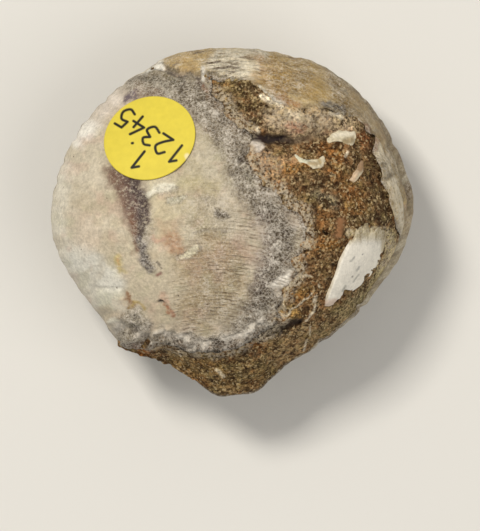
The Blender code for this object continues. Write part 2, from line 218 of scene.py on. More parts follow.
def upper_face(xy, sunk=0.0):
    """Base + (rise - sunk) * barrel * (1 - share^5)^0.55; the barrel falls off to the beak and the lip."""
    share = share_out(xy, lip_inset(bearing(xy)) + sunk)
    along, across = share * np.sin(bearing(xy)), share * np.cos(bearing(xy))
    fall = np.where(along > 0, 0.55, 0.45) * along**2 + 0.1 * across**2
    return UPPER_BASE + (UPPER_RISE - sunk) * (1 - fall) * (1 - share**5) ** 0.55


def lower_face(xy, sunk=0.0):
    """Equator - (drop - sunk) * (1 - share^2.6)^0.6, cut off flat at the bottom."""
    drop = (LOWER_DROP - sunk) * (1 - share_out(xy, sunk) ** 2.6) ** 0.6
    return np.maximum(EQUATOR_Z - drop, sunk * 1.05)


print("top of the dome:", round(float(upper_face(DOME_CENTRE[None])[0]), 2), "mm")

# %% [markdown]
# ## Where the shell is broken
# The upper valve's broken edge is drawn in plan as two chains of points: along the ridged rim, which
# kept its outer layer, and along the worn disc. A signed distance to that line says on which side a
# point lies and how far, which is all that the shapes, the masks and the colours need.

# %% Broken edges and signed distances
RIM_EDGE = [
    (-2.5, 15.2), (-1.0, 14.9), (1.3, 14.4), (2.9, 13.3), (4.9, 11.9), (6.9, 11.3), (9.5, 11.4),
    (12.5, 10.6), (14.5, 8.7), (14.5, 7.2), (15.1, 5.1), (15.9, 2.9), (16.4, 0.6), (17.2, -1.6),
]
DISC_EDGE = [
    (-10.9, -12.9), (-8.4, -12.9), (-7.2, -12.4), (-4.8, -13.3), (-2.0, -13.6), (0.4, -13.0),
    (2.9, -11.7), (4.8, -9.8), (4.4, -9.0), (5.4, -7.0), (6.6, -5.3), (6.3, -3.9), (7.5, -2.1),
    (7.3, 0.8), (5.8, 1.6), (4.5, 3.4), (3.0, 3.6), (2.0, 5.9), (1.6, 7.2), (2.0, 8.8),
    (0.9, 9.6), (-0.3, 10.9), (-0.8, 12.1), (-2.2, 13.1),
]
RIM_NOTCH = [(-8.6, 16.4), (-5.8, 15.6), (-3.6, 15.3)]  # where the ridged layer ends on the left
BEYOND = 24.0  # well outside the fossil
BAY = RIM_EDGE + [(BEYOND, -3.0), (BEYOND, -BEYOND), (-11.0, -BEYOND)] + DISC_EDGE
RIM_REGION = RIM_NOTCH + RIM_EDGE + [(BEYOND, -4.0), (BEYOND, BEYOND), (-8.6, BEYOND)]


def distance_to(path, xy):
    """Shortest distance in plan from each point to a chain of straight lines."""
    path = np.array(path, float)
    start, step = path[:-1], np.diff(path, axis=0)
    offset = xy[..., None, :] - start
    share = np.clip((offset * step).sum(-1) / (step**2).sum(-1), 0, 1)
    return np.linalg.norm(offset - share[..., None] * step, axis=-1).min(-1)


def inside(polygon, xy):
    """True inside a closed polygon: a line from the point crosses it an odd number of times."""
    a = np.array(polygon, float)
    b = np.roll(a, -1, axis=0)
    x, y = xy[..., :1], xy[..., 1:]
    rise = np.where(b[:, 1] == a[:, 1], 1e-9, b[:, 1] - a[:, 1])
    crossing = a[:, 0] + (y - a[:, 1]) / rise * (b[:, 0] - a[:, 0])
    return (((a[:, 1] > y) != (b[:, 1] > y)) & (x < crossing)).sum(-1) % 2 == 1


def signed(polygon, xy):
    """Distance to a closed polygon's edge, positive inside it."""
    return distance_to(list(polygon) + [polygon[0]], xy) * np.where(inside(polygon, xy), 1, -1)


def ridged(xy):
    """1 where the upper valve keeps its ridged outer layer and 0 where it is worn away."""
    edge = signed(RIM_REGION, xy) + 0.15 * rough(spread(xy), 0.9, 5)
    return ease(edge / 0.3 + 0.5)


def shell_left(xy):
    """Distance inside the part of the upper valve that is left, with a crumbly edge."""
    crumbled = 0.4 - 0.28 * ease((xy[..., 0] - 11.0) / 2.0)  # the edge wanders less on the right
    return -signed(BAY, xy) + crumbled * rough(spread(xy), 1.4, 21)


def ridge_share(xy):
    """How old the shell is at each point: 0 at the umbo and 1 at the margin."""
    return share_out(xy, centre=UMBO)


print("the bay is open at its middle:", bool(inside(BAY, np.array([[9.0, 0.0]]))[0]))

# %% [markdown]
# ## Growth lines
# A bivalve adds shell at its edge, and each pause leaves a line. Strong pauses make ledges about a
# millimetre apart, closer near the edge, and fine ridges fill the space between. Both are a function
# of one number, the distance grown, so they run round the umbo by themselves.

# %% Growth relief
GROWN = 31.0  # distance from the umbo to the open edge
LEDGES = 15
WORN_CENTRE = np.array([-2.0, -27.0])  # of the lines in the worn disc, where the layers are cut across
ALONG_SCALE = 25  # mm for each radian of turn, which is true 25 mm from the umbo


def grown_mm(xy):
    """Distance grown at each point, with the spacing of its lines made uneven."""
    grown = GROWN * ridge_share(xy)
    return grown + 0.25 * noise(spread(np.stack([grown, 0 * grown], axis=-1)), 1.3, 40)


def ledges(share):
    """Saw-teeth that rise outwards and drop at each pause, from 0 to 1."""
    return LEDGES * share**1.25 % 1.0


def ridges(grown, pitch):
    """Rounded ridges a pitch apart, from -1 to 1."""
    return np.sin(math.tau * grown / pitch)


def flow(xy, grown, centre=UMBO):
    """Two lengths in mm that follow growth: across its lines, and along them as a turn times a scale."""
    away = xy - centre
    return spread(np.stack([grown, ALONG_SCALE * np.arctan2(away[..., 0], away[..., 1])], axis=-1))


def streaks(xy, width, length, seed):
    """Noise drawn out along the growth lines: a width across them and a length along them, in mm."""
    return rough(flow(xy, grown_mm(xy)) / [width, length, 1], 1.0, seed, octaves=2)


print("ledges near the edge are", round(GROWN / LEDGES / 1.25, 2), "mm apart")

# %% [markdown]
# ## Painting by distance
# The stains on a fossil follow no formula, but each one is simple: a streak or patch along a short
# path. A stroke here is a colour, a strength, a half width and a path, and its edge is made ragged by
# noise. Strokes are laid one over another on a base colour, and the result is stored on the mesh as
# a colour attribute, which the material reads and breaks up further with grain. Relief is laid on in
# the same way, as strokes without a colour.

# %% Strokes of colour


def linear(hex_colour):
    """An sRGB hex colour as linear red, green and blue."""
    value = np.array([int(hex_colour[k:k + 2], 16) for k in (0, 2, 4)]) / 255
    return np.where(value <= 0.04045, value / 12.92, ((value + 0.055) / 1.055) ** 2.4)


def ragged(xy, amount=0.35):
    """Plan points shifted by noise, so that whatever is drawn on them gets an uneven edge."""
    here = spread(xy)
    return xy + amount * np.stack([rough(here, 0.9, 11), rough(here, 0.9, 12)], axis=-1)


def stroke(at, path, half_width):
    """1 on a path, falling softly to 0 at 1.35 half widths from it."""
    return ease(1.35 - distance_to(path, at) / half_width)


def mix_in(colour, hex_colour, amount):
    """A colour moved towards another by an amount from 0 to 1 at each point."""
    return colour + np.asarray(amount)[..., None] * (linear(hex_colour) - colour)


def paint(at, base, strokes):
    """A base colour with each stroke of (hex colour, strength, half width, path) laid over it."""
    colour = np.broadcast_to(linear(base), at.shape[:-1] + (3,)) if isinstance(base, str) else base
    for hex_colour, strength, half_width, path in strokes:
        colour = mix_in(colour, hex_colour, strength * stroke(at, path, half_width))
    return colour


def cover(at, strokes):
    """The strongest of several (strength, half width, path) strokes at each point."""
    return np.max([strength * stroke(at, path, half_width) for strength, half_width, path in strokes], axis=0)


print("cream in linear light:", linear("c5b9a2").round(3))

# %% [markdown]
# ## Meshes from whole arrays
# Fine relief needs about a hundred thousand faces, far too many to place by hand, so every mesh comes
# from arrays. Two builders cover every piece. The first, `wrap`, makes a closed skin from rows of points
# that go round, like hoops on a barrel, with a point at each end. It suits all that is whole.

# %% Objects and closed skins


def stand(name, data):
    """A new object in the scene, at the origin."""
    made = bpy.data.objects.new(name, data)
    bpy.context.scene.collection.objects.link(made)
    return made


def piece(name, points, faces, finish, attributes):
    """An object at the origin from points in mm, faces and values for each point."""
    mesh = bpy.data.meshes.new(name)
    mesh.from_pydata(points * MM, [], faces)
    for key, values in attributes.items():
        kind, prop = ("FLOAT", "value") if values.ndim == 1 else ("FLOAT_COLOR", "color")
        if values.ndim == 2:
            values = np.column_stack([values, np.ones(len(values))])
        mesh.attributes.new(key, kind, "POINT").data.foreach_set(prop, values.astype(np.float32).ravel())
    mesh.polygons.foreach_set("use_smooth", np.ones(len(mesh.polygons), bool))
    mesh.materials.append(finish)
    print(name, "has", len(mesh.polygons), "faces")
    return stand(name, mesh)


def compass(count):
    """Evenly spaced bearings all round, and the direction of each."""
    turn = np.linspace(0, math.tau, count, endpoint=False)
    return turn, np.stack([np.cos(turn), np.sin(turn)], axis=-1)


def wrap(rows, first, last):
    """Points and faces of a closed skin over rows of shape (rows, columns, 3), between two end points."""
    count, columns = rows.shape[:2]
    points = np.vstack([rows.reshape(-1, 3), [first, last]])
    k = np.arange(columns)
    after = (k + 1) % columns
    low = (np.arange(count - 1) * columns)[:, None]
    sides = np.stack([low + k, low + after, low + columns + after, low + columns + k], axis=-1)
    ends = count * columns
    first_fan = np.stack([np.full(columns, ends), after, k], axis=-1)
    top = (count - 1) * columns
    last_fan = np.stack([np.full(columns, ends + 1), top + k, top + after], axis=-1)
    return points, sides.reshape(-1, 4).tolist() + first_fan.tolist() + last_fan.tolist()


print("bearings of a ring of 8 points:", compass(8)[0].round(2))

# %% [markdown]
# ### Plates with a broken edge
# The second builder, `slab`, makes a closed plate from a grid with some cells left out, which suits a
# broken shell: its top, its underside, and a wall round every edge. Whole cells would leave a stepped
# edge, so the outermost points are moved onto the line of the break.

# %% Plates with a broken edge


def tidy(keep):
    """Kept cells without loose islands or cells that touch only at a corner."""
    keep = keep.copy()
    for _ in range(3):
        down = keep[:-1, :-1] & keep[1:, 1:] & ~keep[1:, :-1] & ~keep[:-1, 1:]
        up = ~keep[:-1, :-1] & ~keep[1:, 1:] & keep[1:, :-1] & keep[:-1, 1:]
        keep[1:, :-1] |= down
        keep[:-1, :-1] |= up
    reached = np.zeros_like(keep)
    seed = np.argwhere(keep)[np.count_nonzero(keep) // 2]
    reached[tuple(seed)] = True
    while True:
        wider = reached.copy()
        wider[1:] |= reached[:-1]
        wider[:-1] |= reached[1:]
        wider[:, 1:] |= reached[:, :-1]
        wider[:, :-1] |= reached[:, 1:]
        wider &= keep
        if (wider == reached).all():
            return reached
        reached = wider


def slab(top, bottom, keep):
    """Points and faces of a closed plate, and which of the grid's points it uses, top before bottom."""
    rows, columns = top.shape[:2]
    number = np.arange(rows * columns).reshape(rows, columns)
    under = rows * columns
    a, b, c, d = number[:-1, :-1], number[1:, :-1], number[1:, 1:], number[:-1, 1:]
    faces = [np.stack([a, b, c, d], -1)[keep], np.stack([d, c, b, a], -1)[keep] + under]
    wide = np.pad(keep, 1)
    beside = (wide[1:-1, :-2], wide[2:, 1:-1], wide[1:-1, 2:], wide[:-2, 1:-1])
    for near, (p, q) in zip(beside, ((a, b), (b, c), (c, d), (d, a))):
        edge = keep & ~near
        faces.append(np.stack([q, p, p + under, q + under], -1)[edge])
    faces = np.vstack(faces)
    used, faces = np.unique(faces, return_inverse=True)
    points = np.vstack([top.reshape(-1, 3), bottom.reshape(-1, 3)])[used]
    return points, faces.reshape(-1, 4).tolist(), used


def settle(xy, keep, edge):
    """Moves the outermost points of the kept cells onto an edge, down the slope of their distance to it."""
    cells = np.pad(keep, 1).astype(int)
    around = cells[1:, 1:] + cells[:-1, 1:] + cells[1:, :-1] + cells[:-1, :-1]
    step = 0.02
    for _ in range(3):
        d = edge(xy)
        slope = np.stack([edge(xy + [step, 0]) - d, edge(xy + [0, step]) - d], axis=-1) / step
        move = -d[..., None] * slope / (slope**2).sum(-1, keepdims=True).clip(0.3)
        outer = (around > 0) & (around < 4) & (np.abs(d) < 0.3)
        xy = xy + np.where(outer[..., None], np.clip(move, -0.1, 0.1), 0)
    return xy


def both_faces(values, used):
    """Values of a plate's grid points, given to its underside too and cut down to the points in use."""
    return {key: np.concatenate([value, value])[used] for key, value in values.items()}


print("two cells that touch at a corner become", np.count_nonzero(tidy(np.eye(2, dtype=bool))), "cells")

# %% [markdown]
# ### From plan to space
# Shapes are drawn in plan and then lifted. Relief pushes them away from the fossil's middle, not
# straight up, so that a ridge stands out sideways where the shell is steep.

# %% From plan to space


def swell(points, height):
    """Points pushed away from the fossil's middle by a height."""
    away = points - np.array([*DOME_CENTRE, EQUATOR_Z])
    return points + away / np.linalg.norm(away, axis=-1, keepdims=True) * np.asarray(height)[..., None]


def at_height(xy, z):
    """Plan points lifted to a height, or to one height each."""
    return np.concatenate([xy, np.broadcast_to(z, xy.shape[:-1])[..., None]], axis=-1)


def bowl_rings(rim, sunk):
    """Rings sunk below the lower dome, from near the middle out to a rim: few, as they aren't seen."""
    rings = [DOME_CENTRE + share * (rim - DOME_CENTRE) for share in (0.25, 0.5, 0.75, 0.9, 0.98)]
    return [at_height(ring, lower_face(ring, sunk)) for ring in rings]


print("a point of the plan, lifted to 2 mm:", at_height(np.array([3.0, 4.0]), 2.0))

# %% [markdown]
# ## Materials
# A node network is only as readable as its wiring, so one function adds a node, fills its inputs and
# gives back the output that the next node reads. A list fills the sockets from the first one on, so a
# Map Range reads value, from, from, to, to. Pattern sizes are given in millimetres and turned into the
# scale that Blender wants. Several noises of one kind, or several colours laid over each other, are
# made in a loop.

# %% One function for nodes


def add(tree, kind, inputs, output=0, **settings):
    """Adds a shader node, or takes one that is there, with its settings and inputs; gives an output.

    Inputs are a dict by socket name or number, or a list. Each is a socket to link, a value, or a
    string, which is an sRGB hex colour.
    """
    made = tree.nodes.new("ShaderNode" + kind) if isinstance(kind, str) else kind
    for name, value in settings.items():
        setattr(made, name, value)
    for key, value in (inputs if isinstance(inputs, dict) else dict(enumerate(inputs))).items():
        if isinstance(value, bpy.types.NodeSocket):
            tree.links.new(value, made.inputs[key])
        else:
            made.inputs[key].default_value = (*linear(value), 1.0) if isinstance(value, str) else value
    return made.outputs[output]


def per_metre(size_mm):
    """The texture scale at which a pattern's cells are that many millimetres wide."""
    return 1 / (size_mm * MM)


def fresh(name, roughness, ior, gloss=0.5):
    """A material, a function that adds nodes to it, its shader, and Object coordinates."""
    made = bpy.data.materials.new(name)
    made.use_nodes = True
    node, shader = partial(add, made.node_tree), made.node_tree.nodes["Principled BSDF"]
    node(shader, {"Roughness": roughness, "IOR": ior, "Specular IOR Level": gloss})
    return made, node, shader, node("TexCoord", (), "Object")


print("a pattern with cells of 0.5 mm has the scale", per_metre(0.5))

# %% [markdown]
# ### Worn calcite
# Fossil shell is calcite, a pale mineral of index 1.6. It is worn matt, and the pits between its
# crystals swallow most of the gloss that is left, so the specular level is low. Stains soak into it
# grain by grain. The mesh says where: `ground` is the clean colour and `tint` the stained one, `flow`
# runs across and along the growth lines, `lined` is how clearly they show, and `crumb` is how etched
# the shell is, with white crystals, needle-thin edges and dark pits between them.

# %% Worn calcite


def worn_calcite(name, grain, line_pitch=0.4):
    """Calcite with a mottle of a given strength, and hairlines a pitch apart in mm."""
    made, node, shader, place = fresh(name, 0.62, 1.6, 0.3)
    ground, tint = (node("Attribute", (), "Color", attribute_name=key) for key in ("ground", "tint"))
    crumb, lined = (node("Attribute", (), "Fac", attribute_name=key) for key in ("crumb", "lined"))
    growth = node("Attribute", (), "Vector", attribute_name="flow")
    soak, mottle, fine, clump = (
        node("TexNoise", {"Vector": place, "Scale": per_metre(size), "Detail": detail, "Roughness": mix})
        for size, detail, mix in ((0.36, 3.0, 0.7), (0.8, 5.0, 0.6), (0.3, 3.0, 0.65), (1.1, 2.0, 0.5)))
    # Stains lie over the ground colour in specks.
    soak = node("MapRange", [soak, 0.33, 0.5, 0.35])
    body = node("Mix", {0: soak, 6: ground, 7: tint}, 2, data_type="RGBA")
    # Layers of growth: thin pale and brown streaks, seven times as long as they are wide.
    drawn = node("VectorMath", [growth, (1 / 0.22, 1 / 1.5, 0)], operation="MULTIPLY")
    layers = node("TexNoise", {"Vector": drawn, "Scale": 1.0, "Detail": 3.0, "Roughness": 0.65})
    for start, end, colour in ((0.53, 0.66, "d5ccb6"), (0.46, 0.33, "614a29")):
        streak = node("MapRange", [layers, start, end, 0.0, 0.85])
        streak = node("Math", [streak, lined], operation="MULTIPLY")
        body = node("Mix", {0: streak, 6: body, 7: colour}, 2, data_type="RGBA")
    # Mottle at two sizes darkens and lightens the colour.
    shade = node("MapRange", [mottle, 0.3, 0.7, 1 - grain * 0.9, 1 + grain * 0.7])
    speck = node("MapRange", [fine, 0.32, 0.68, 1 - grain * 1.2, 1 + grain])
    shade = node("Math", [shade, speck], operation="MULTIPLY")
    body = node("VectorMath", {0: body, "Scale": shade}, operation="SCALE")
    # Hairlines where the shell paused hold dirt, and are broken up where it is worn.
    phase = node("Math", [mottle, 0.4, node("SeparateXYZ", [growth])], operation="MULTIPLY_ADD")
    phase = node("Math", [phase, math.tau / line_pitch], operation="MULTIPLY")
    groove = node("MapRange", [node("Math", [phase], operation="SINE"), 0.3, 1.0])
    for part in (lined, node("MapRange", [layers, 0.56, 0.4])):
        groove = node("Math", [groove, part], operation="MULTIPLY")
    dirt = node("Math", [groove, 0.6], operation="MULTIPLY")
    # Etched shell: clumps of white crystals, dark pits between them, and thin edges of broken needles.
    crystals = node("TexNoise", {"Vector": place, "Scale": per_metre(0.24), "Detail": 4.0,
                                 "Roughness": 0.8, "Distortion": 0.3})
    crystals = node("Math", [clump, 0.5, crystals], operation="MULTIPLY_ADD")
    bent = node("TexNoise", {"Vector": place, "Scale": per_metre(0.5), "Detail": 2.0}, "Color")
    bent = node("VectorMath", [bent, (0.6 * MM,) * 3, place], operation="MULTIPLY_ADD")
    edges = node("TexVoronoi", {"Vector": bent, "Scale": per_metre(0.42)}, feature="DISTANCE_TO_EDGE")
    white, pit, needle = (
        node("Math", [node("MapRange", [pattern, start, end, 0.0, most]), crumb], operation="MULTIPLY")
        for pattern, start, end, most in (
            (crystals, 0.78, 0.9, 0.95), (crystals, 0.8, 0.63, 0.85), (edges, 0.12, 0.03, 0.55)))
    # A few pinholes, each a dot of about 0.1 mm.
    hole = node("TexVoronoi", {"Vector": place, "Scale": per_metre(0.9)})
    wide = node("MapRange", [node("SeparateColor", [hole.node.outputs["Color"]]), 0.5, 1.0, 0.0, 0.1])
    dot = node("Math", [hole, wide], operation="LESS_THAN")
    for amount, colour in (
            (dirt, "5a4222"), (white, "e8dfd2"), (pit, "3a2b1a"), (needle, "d2c9bb"), (dot, "6b5f50")):
        body = node("Mix", {0: amount, 6: body, 7: colour}, 2, data_type="RGBA")
    height = node("Math", [crystals, crumb], operation="MULTIPLY")
    height = node("Math", [needle, 0.3, height], operation="MULTIPLY_ADD")
    height = node("Math", [height, 3.0, fine], operation="MULTIPLY_ADD")
    relief = node("Math", [layers, lined], operation="MULTIPLY")
    height = node("Math", [relief, 2.0, height], operation="MULTIPLY_ADD")
    height = node("Math", [height, groove], operation="SUBTRACT")
    bump = node("Bump", {"Height": height, "Distance": 0.09 * MM, "Strength": 1.0})
    node(shader, {"Base Color": body, "Normal": bump})
    return made


upper_shell = worn_calcite("worn_calcite_shell", 0.16)
lower_shell = worn_calcite("ridged_calcite_shell", 0.2, line_pitch=0.45)
chalky_shell = worn_calcite("chalky_calcite", 0.06)
cream_shell = worn_calcite("cream_calcite_chip", 0.14)
print("shell materials:", upper_shell.name, lower_shell.name, chalky_shell.name, cream_shell.name)

# %% [markdown]
# ### Ironstone
# The filling is sand cemented by iron oxide, dull all over. A cell pattern gives each grain of about
# 0.2 mm its own brightness and a rounded top. The cement between them is richer in iron, so it is a
# deeper brown and not only darker. A few grains are pale quartz, some have fallen out and left pores,
# and olive and rust drift through it over a millimetre or so. `crumb` says where it is powdered with
# chalk, and `smooth` where a pebble or a bit of shell has no grain of its own, and where the painted
# shadow in a crevice lies even.

# %% Ironstone


def ironstone(name):
    """Brown grains in darker cement, with quartz, pores and powder."""
    made, node, shader, place = fresh(name, 0.88, 1.5, 0.15)
    tint = node("Attribute", (), "Color", attribute_name="tint")
    crumb, smooth = (node("Attribute", (), "Fac", attribute_name=key) for key in ("crumb", "smooth"))
    rest = node("Math", [1.0, smooth], operation="SUBTRACT")
    drift, grit, hue, pore, chalk = (
        node("TexNoise", {"Vector": place, "Scale": per_metre(size), "Detail": detail, "Roughness": mix})
        for size, detail, mix in (
            (0.8, 4.0, 0.7), (0.28, 3.0, 0.75), (1.2, 5.0, 0.65), (0.45, 3.0, 0.7), (0.35, 3.0, 0.7)))
    bent = node("TexNoise", {"Vector": place, "Scale": per_metre(0.3), "Detail": 2.0}, "Color")
    bent = node("VectorMath", [bent, (0.35 * MM,) * 3, place], operation="MULTIPLY_ADD")
    grains = node("TexVoronoi", {"Vector": bent, "Scale": per_metre(0.21)})
    own = node("SeparateColor", [grains.node.outputs["Color"]])  # random numbers, the same all over a grain
    # Three kinds of light and dark: drifts of many grains, grit within them, and each grain by itself.
    shade, speck, bright = (
        node("MapRange", [pattern, start, end, dark, light]) for pattern, start, end, dark, light in (
            (drift, 0.34, 0.66, 0.42, 1.65), (grit, 0.36, 0.64, 0.42, 1.6), (own, 0.0, 1.0, 0.7, 1.35)))
    for part in (speck, bright):
        shade = node("Math", [shade, part], operation="MULTIPLY")
    shade = node("Mix", {0: smooth, 2: shade, 3: 1.0})
    body = tint
    for start, end, most, colour in ((0.5, 0.65, 0.45, "71643c"), (0.48, 0.35, 0.35, "7d4b22")):
        patch = node("MapRange", [hue, start, end, 0.0, most])
        body = node("Mix", {0: patch, 6: body, 7: colour}, 2, data_type="RGBA")
    body = node("Mix", {0: smooth, 6: body, 7: tint}, 2, data_type="RGBA")
    body = node("VectorMath", {0: body, "Scale": shade}, operation="SCALE")
    cement = node("MapRange", [shade, 1.0, 0.45, 0.0, 0.7])
    quartz, pore, chalk = (
        node("Math", [node("MapRange", [pattern, start, end, 0.0, most]), where], operation="MULTIPLY")
        for pattern, start, end, most, where in (
            (own.node.outputs["Green"], 0.82, 0.92, 0.6, rest), (pore, 0.41, 0.33, 0.8, rest),
            (chalk, 0.43, 0.56, 1.0, crumb)))
    for amount, colour in ((cement, "3c240e"), (quartz, "c8b288"), (pore, "25170a"), (chalk, "c6b8a0")):
        body = node("Mix", {0: amount, 6: body, 7: colour}, 2, data_type="RGBA")
    height = node("Math", [grains, -0.3, grit], operation="MULTIPLY_ADD")
    for part, operation in ((drift, "ADD"), (pore, "SUBTRACT"), (rest, "MULTIPLY")):
        height = node("Math", [height, part], operation=operation)
    bump = node("Bump", {"Height": height, "Distance": 0.17 * MM, "Strength": 1.0})
    node(shader, {"Base Color": body, "Normal": bump})
    return made


sandstone = ironstone("iron_cemented_sandstone")
print("stone material:", sandstone.name)

# %% [markdown]
# ### Paper and ink
# The dot is coated yellow paper, nearly smooth, written on with a black pen. The writing is an
# attribute worked out from the distance to pen strokes, so the ink is sharp at any size of render.

# %% Paper and ink


def inked_paper(name):
    """Yellow paper with faint fibres, pale scuffs and black ink."""
    made, node, shader, place = fresh(name, 0.65, 1.4)
    ink, scuff = (node("Attribute", (), "Fac", attribute_name=key) for key in ("ink", "crumb"))
    fibre = node("TexNoise", {"Vector": place, "Scale": per_metre(0.8), "Detail": 5.0})
    shade = node("MapRange", [fibre, 0.3, 0.7, 0.95, 1.04])
    body = node("VectorMath", {0: tuple(linear("dbc945")), "Scale": shade}, operation="SCALE")
    for amount, colour in ((scuff, "f0e6c0"), (ink, "15160e")):
        body = node("Mix", {0: amount, 6: body, 7: colour}, 2, data_type="RGBA")
    bump = node("Bump", {"Height": fibre, "Distance": 0.02 * MM, "Strength": 0.6})
    node(shader, {"Base Color": body, "Normal": bump})
    return made


label_paper = inked_paper("yellow_label_paper")
print("label material:", label_paper.name)

# %% [markdown]
# ## Colours of the upper valve
# What is left of this valve is a worn disc on the left and in the middle, and a ridged rim along the
# top and right. The disc is cream, paler on the left and tan below, with a grey etched band where it
# breaks off and a plum stain across it. Its left and upper left edges and the white lip at the top are
# pale calcite brightened by painted highlight, where the lamp falls on them. The rim keeps its ochre
# outer layer, streaked along its growth lines. Wide strokes set the ground colour and narrow ones the
# stains, and soft blotches lie between. Each is a colour, a strength, a half width in mm and a path. A
# path with a name is used again for relief.

# %% Named paths and the ground colour
ETCHED_BAND = [(-9.8, 14.6), (-7.4, 13.9), (-3.6, 12.9), (-1.8, 10.6), (0.2, 8.2), (1.0, 5.2), (2.6, 2.6),
               (4.6, 0.2), (5.0, -2.8), (4.2, -6.0), (2.8, -9.2), (1.2, -11.6)]
BROKEN_FOOT = [(-7.0, -12.1), (-5.4, -12.3), (-3.0, -12.8), (-0.6, -12.6), (1.8, -11.6), (3.2, -10.6)]
BRIGHT_FOOT = [(-7.6, -11.6), (-5.4, -12.3), (-4.1, -13.0), (-2.2, -13.1), (-0.3, -12.6), (1.0, -12.0),
               (2.3, -11.2), (3.0, -10.6)]
WHITE_PATCH = [(4.3, -6.7), (5.2, -6.1), (6.1, -5.6)]
LAMINAE = [(-1.8, 16.1), (0.6, 15.8), (2.2, 15.4)]
CRACK = [(-8.3, 15.95), (-5.4, 15.4), (-3.4, 15.15)]
WIDE_STROKES = [
    ("c9bfa9", 0.7, 3.0, [(-15.5, 8.0), (-17.0, 2.0), (-16.5, -3.0)]),
    # these two: pale calcite along the left and upper left edges, brightened by painted highlight where the
    # lamp falls
    ("ddd8c8", 0.8, 0.9, [(-17.2, 5.6), (-18.2, 0.0), (-16.6, -5.0), (-14.0, -8.4)]),
    ("eeeae0", 0.9, 0.9, [(-15.8, 8.2), (-13.7, 11.2), (-11.4, 13.5), (-9.6, 14.9)]),
    ("dcdacf", 0.85, 1.6, [(-15.6, -3.6), (-14.4, -5.2), (-12.8, -6.6)]),
    ("c8ad98", 0.35, 1.4, [(-15.2, 0.4), (-14.8, -1.8)]),
    ("ccb9a8", 0.5, 1.6, [(-13.6, 11.6), (-11.2, 13.0)]),
    ("c3b68f", 0.5, 3.0, [(-6.5, 1.5), (-4.5, -2.0)]),
    ("b4a98b", 0.8, 2.2, [(-4.2, 5.4), (-1.8, 5.6), (-2.4, 8.6)]),
    ("bfb284", 0.5, 1.0, [(-4.6, 4.0), (-1.8, 3.8)]),
    ("a08a64", 0.78, 3.0, [(-3.4, -5.0), (-1.0, -7.0), (-3.0, -9.0)]),
    ("a98f6a", 0.65, 1.8, [(-2.6, -2.6), (0.2, -3.6)]),
]
print(len(WIDE_STROKES), "wide strokes on the disc")

# %% [markdown]
# ### Stains on the disc
# Iron and clay have soaked into the worn layers: greys along the break, plum where something lay
# across the shell, rust and yellow in spots. White strokes are crystals that stand clean. They are
# laid from wide to narrow, so that the small ones stay on top.

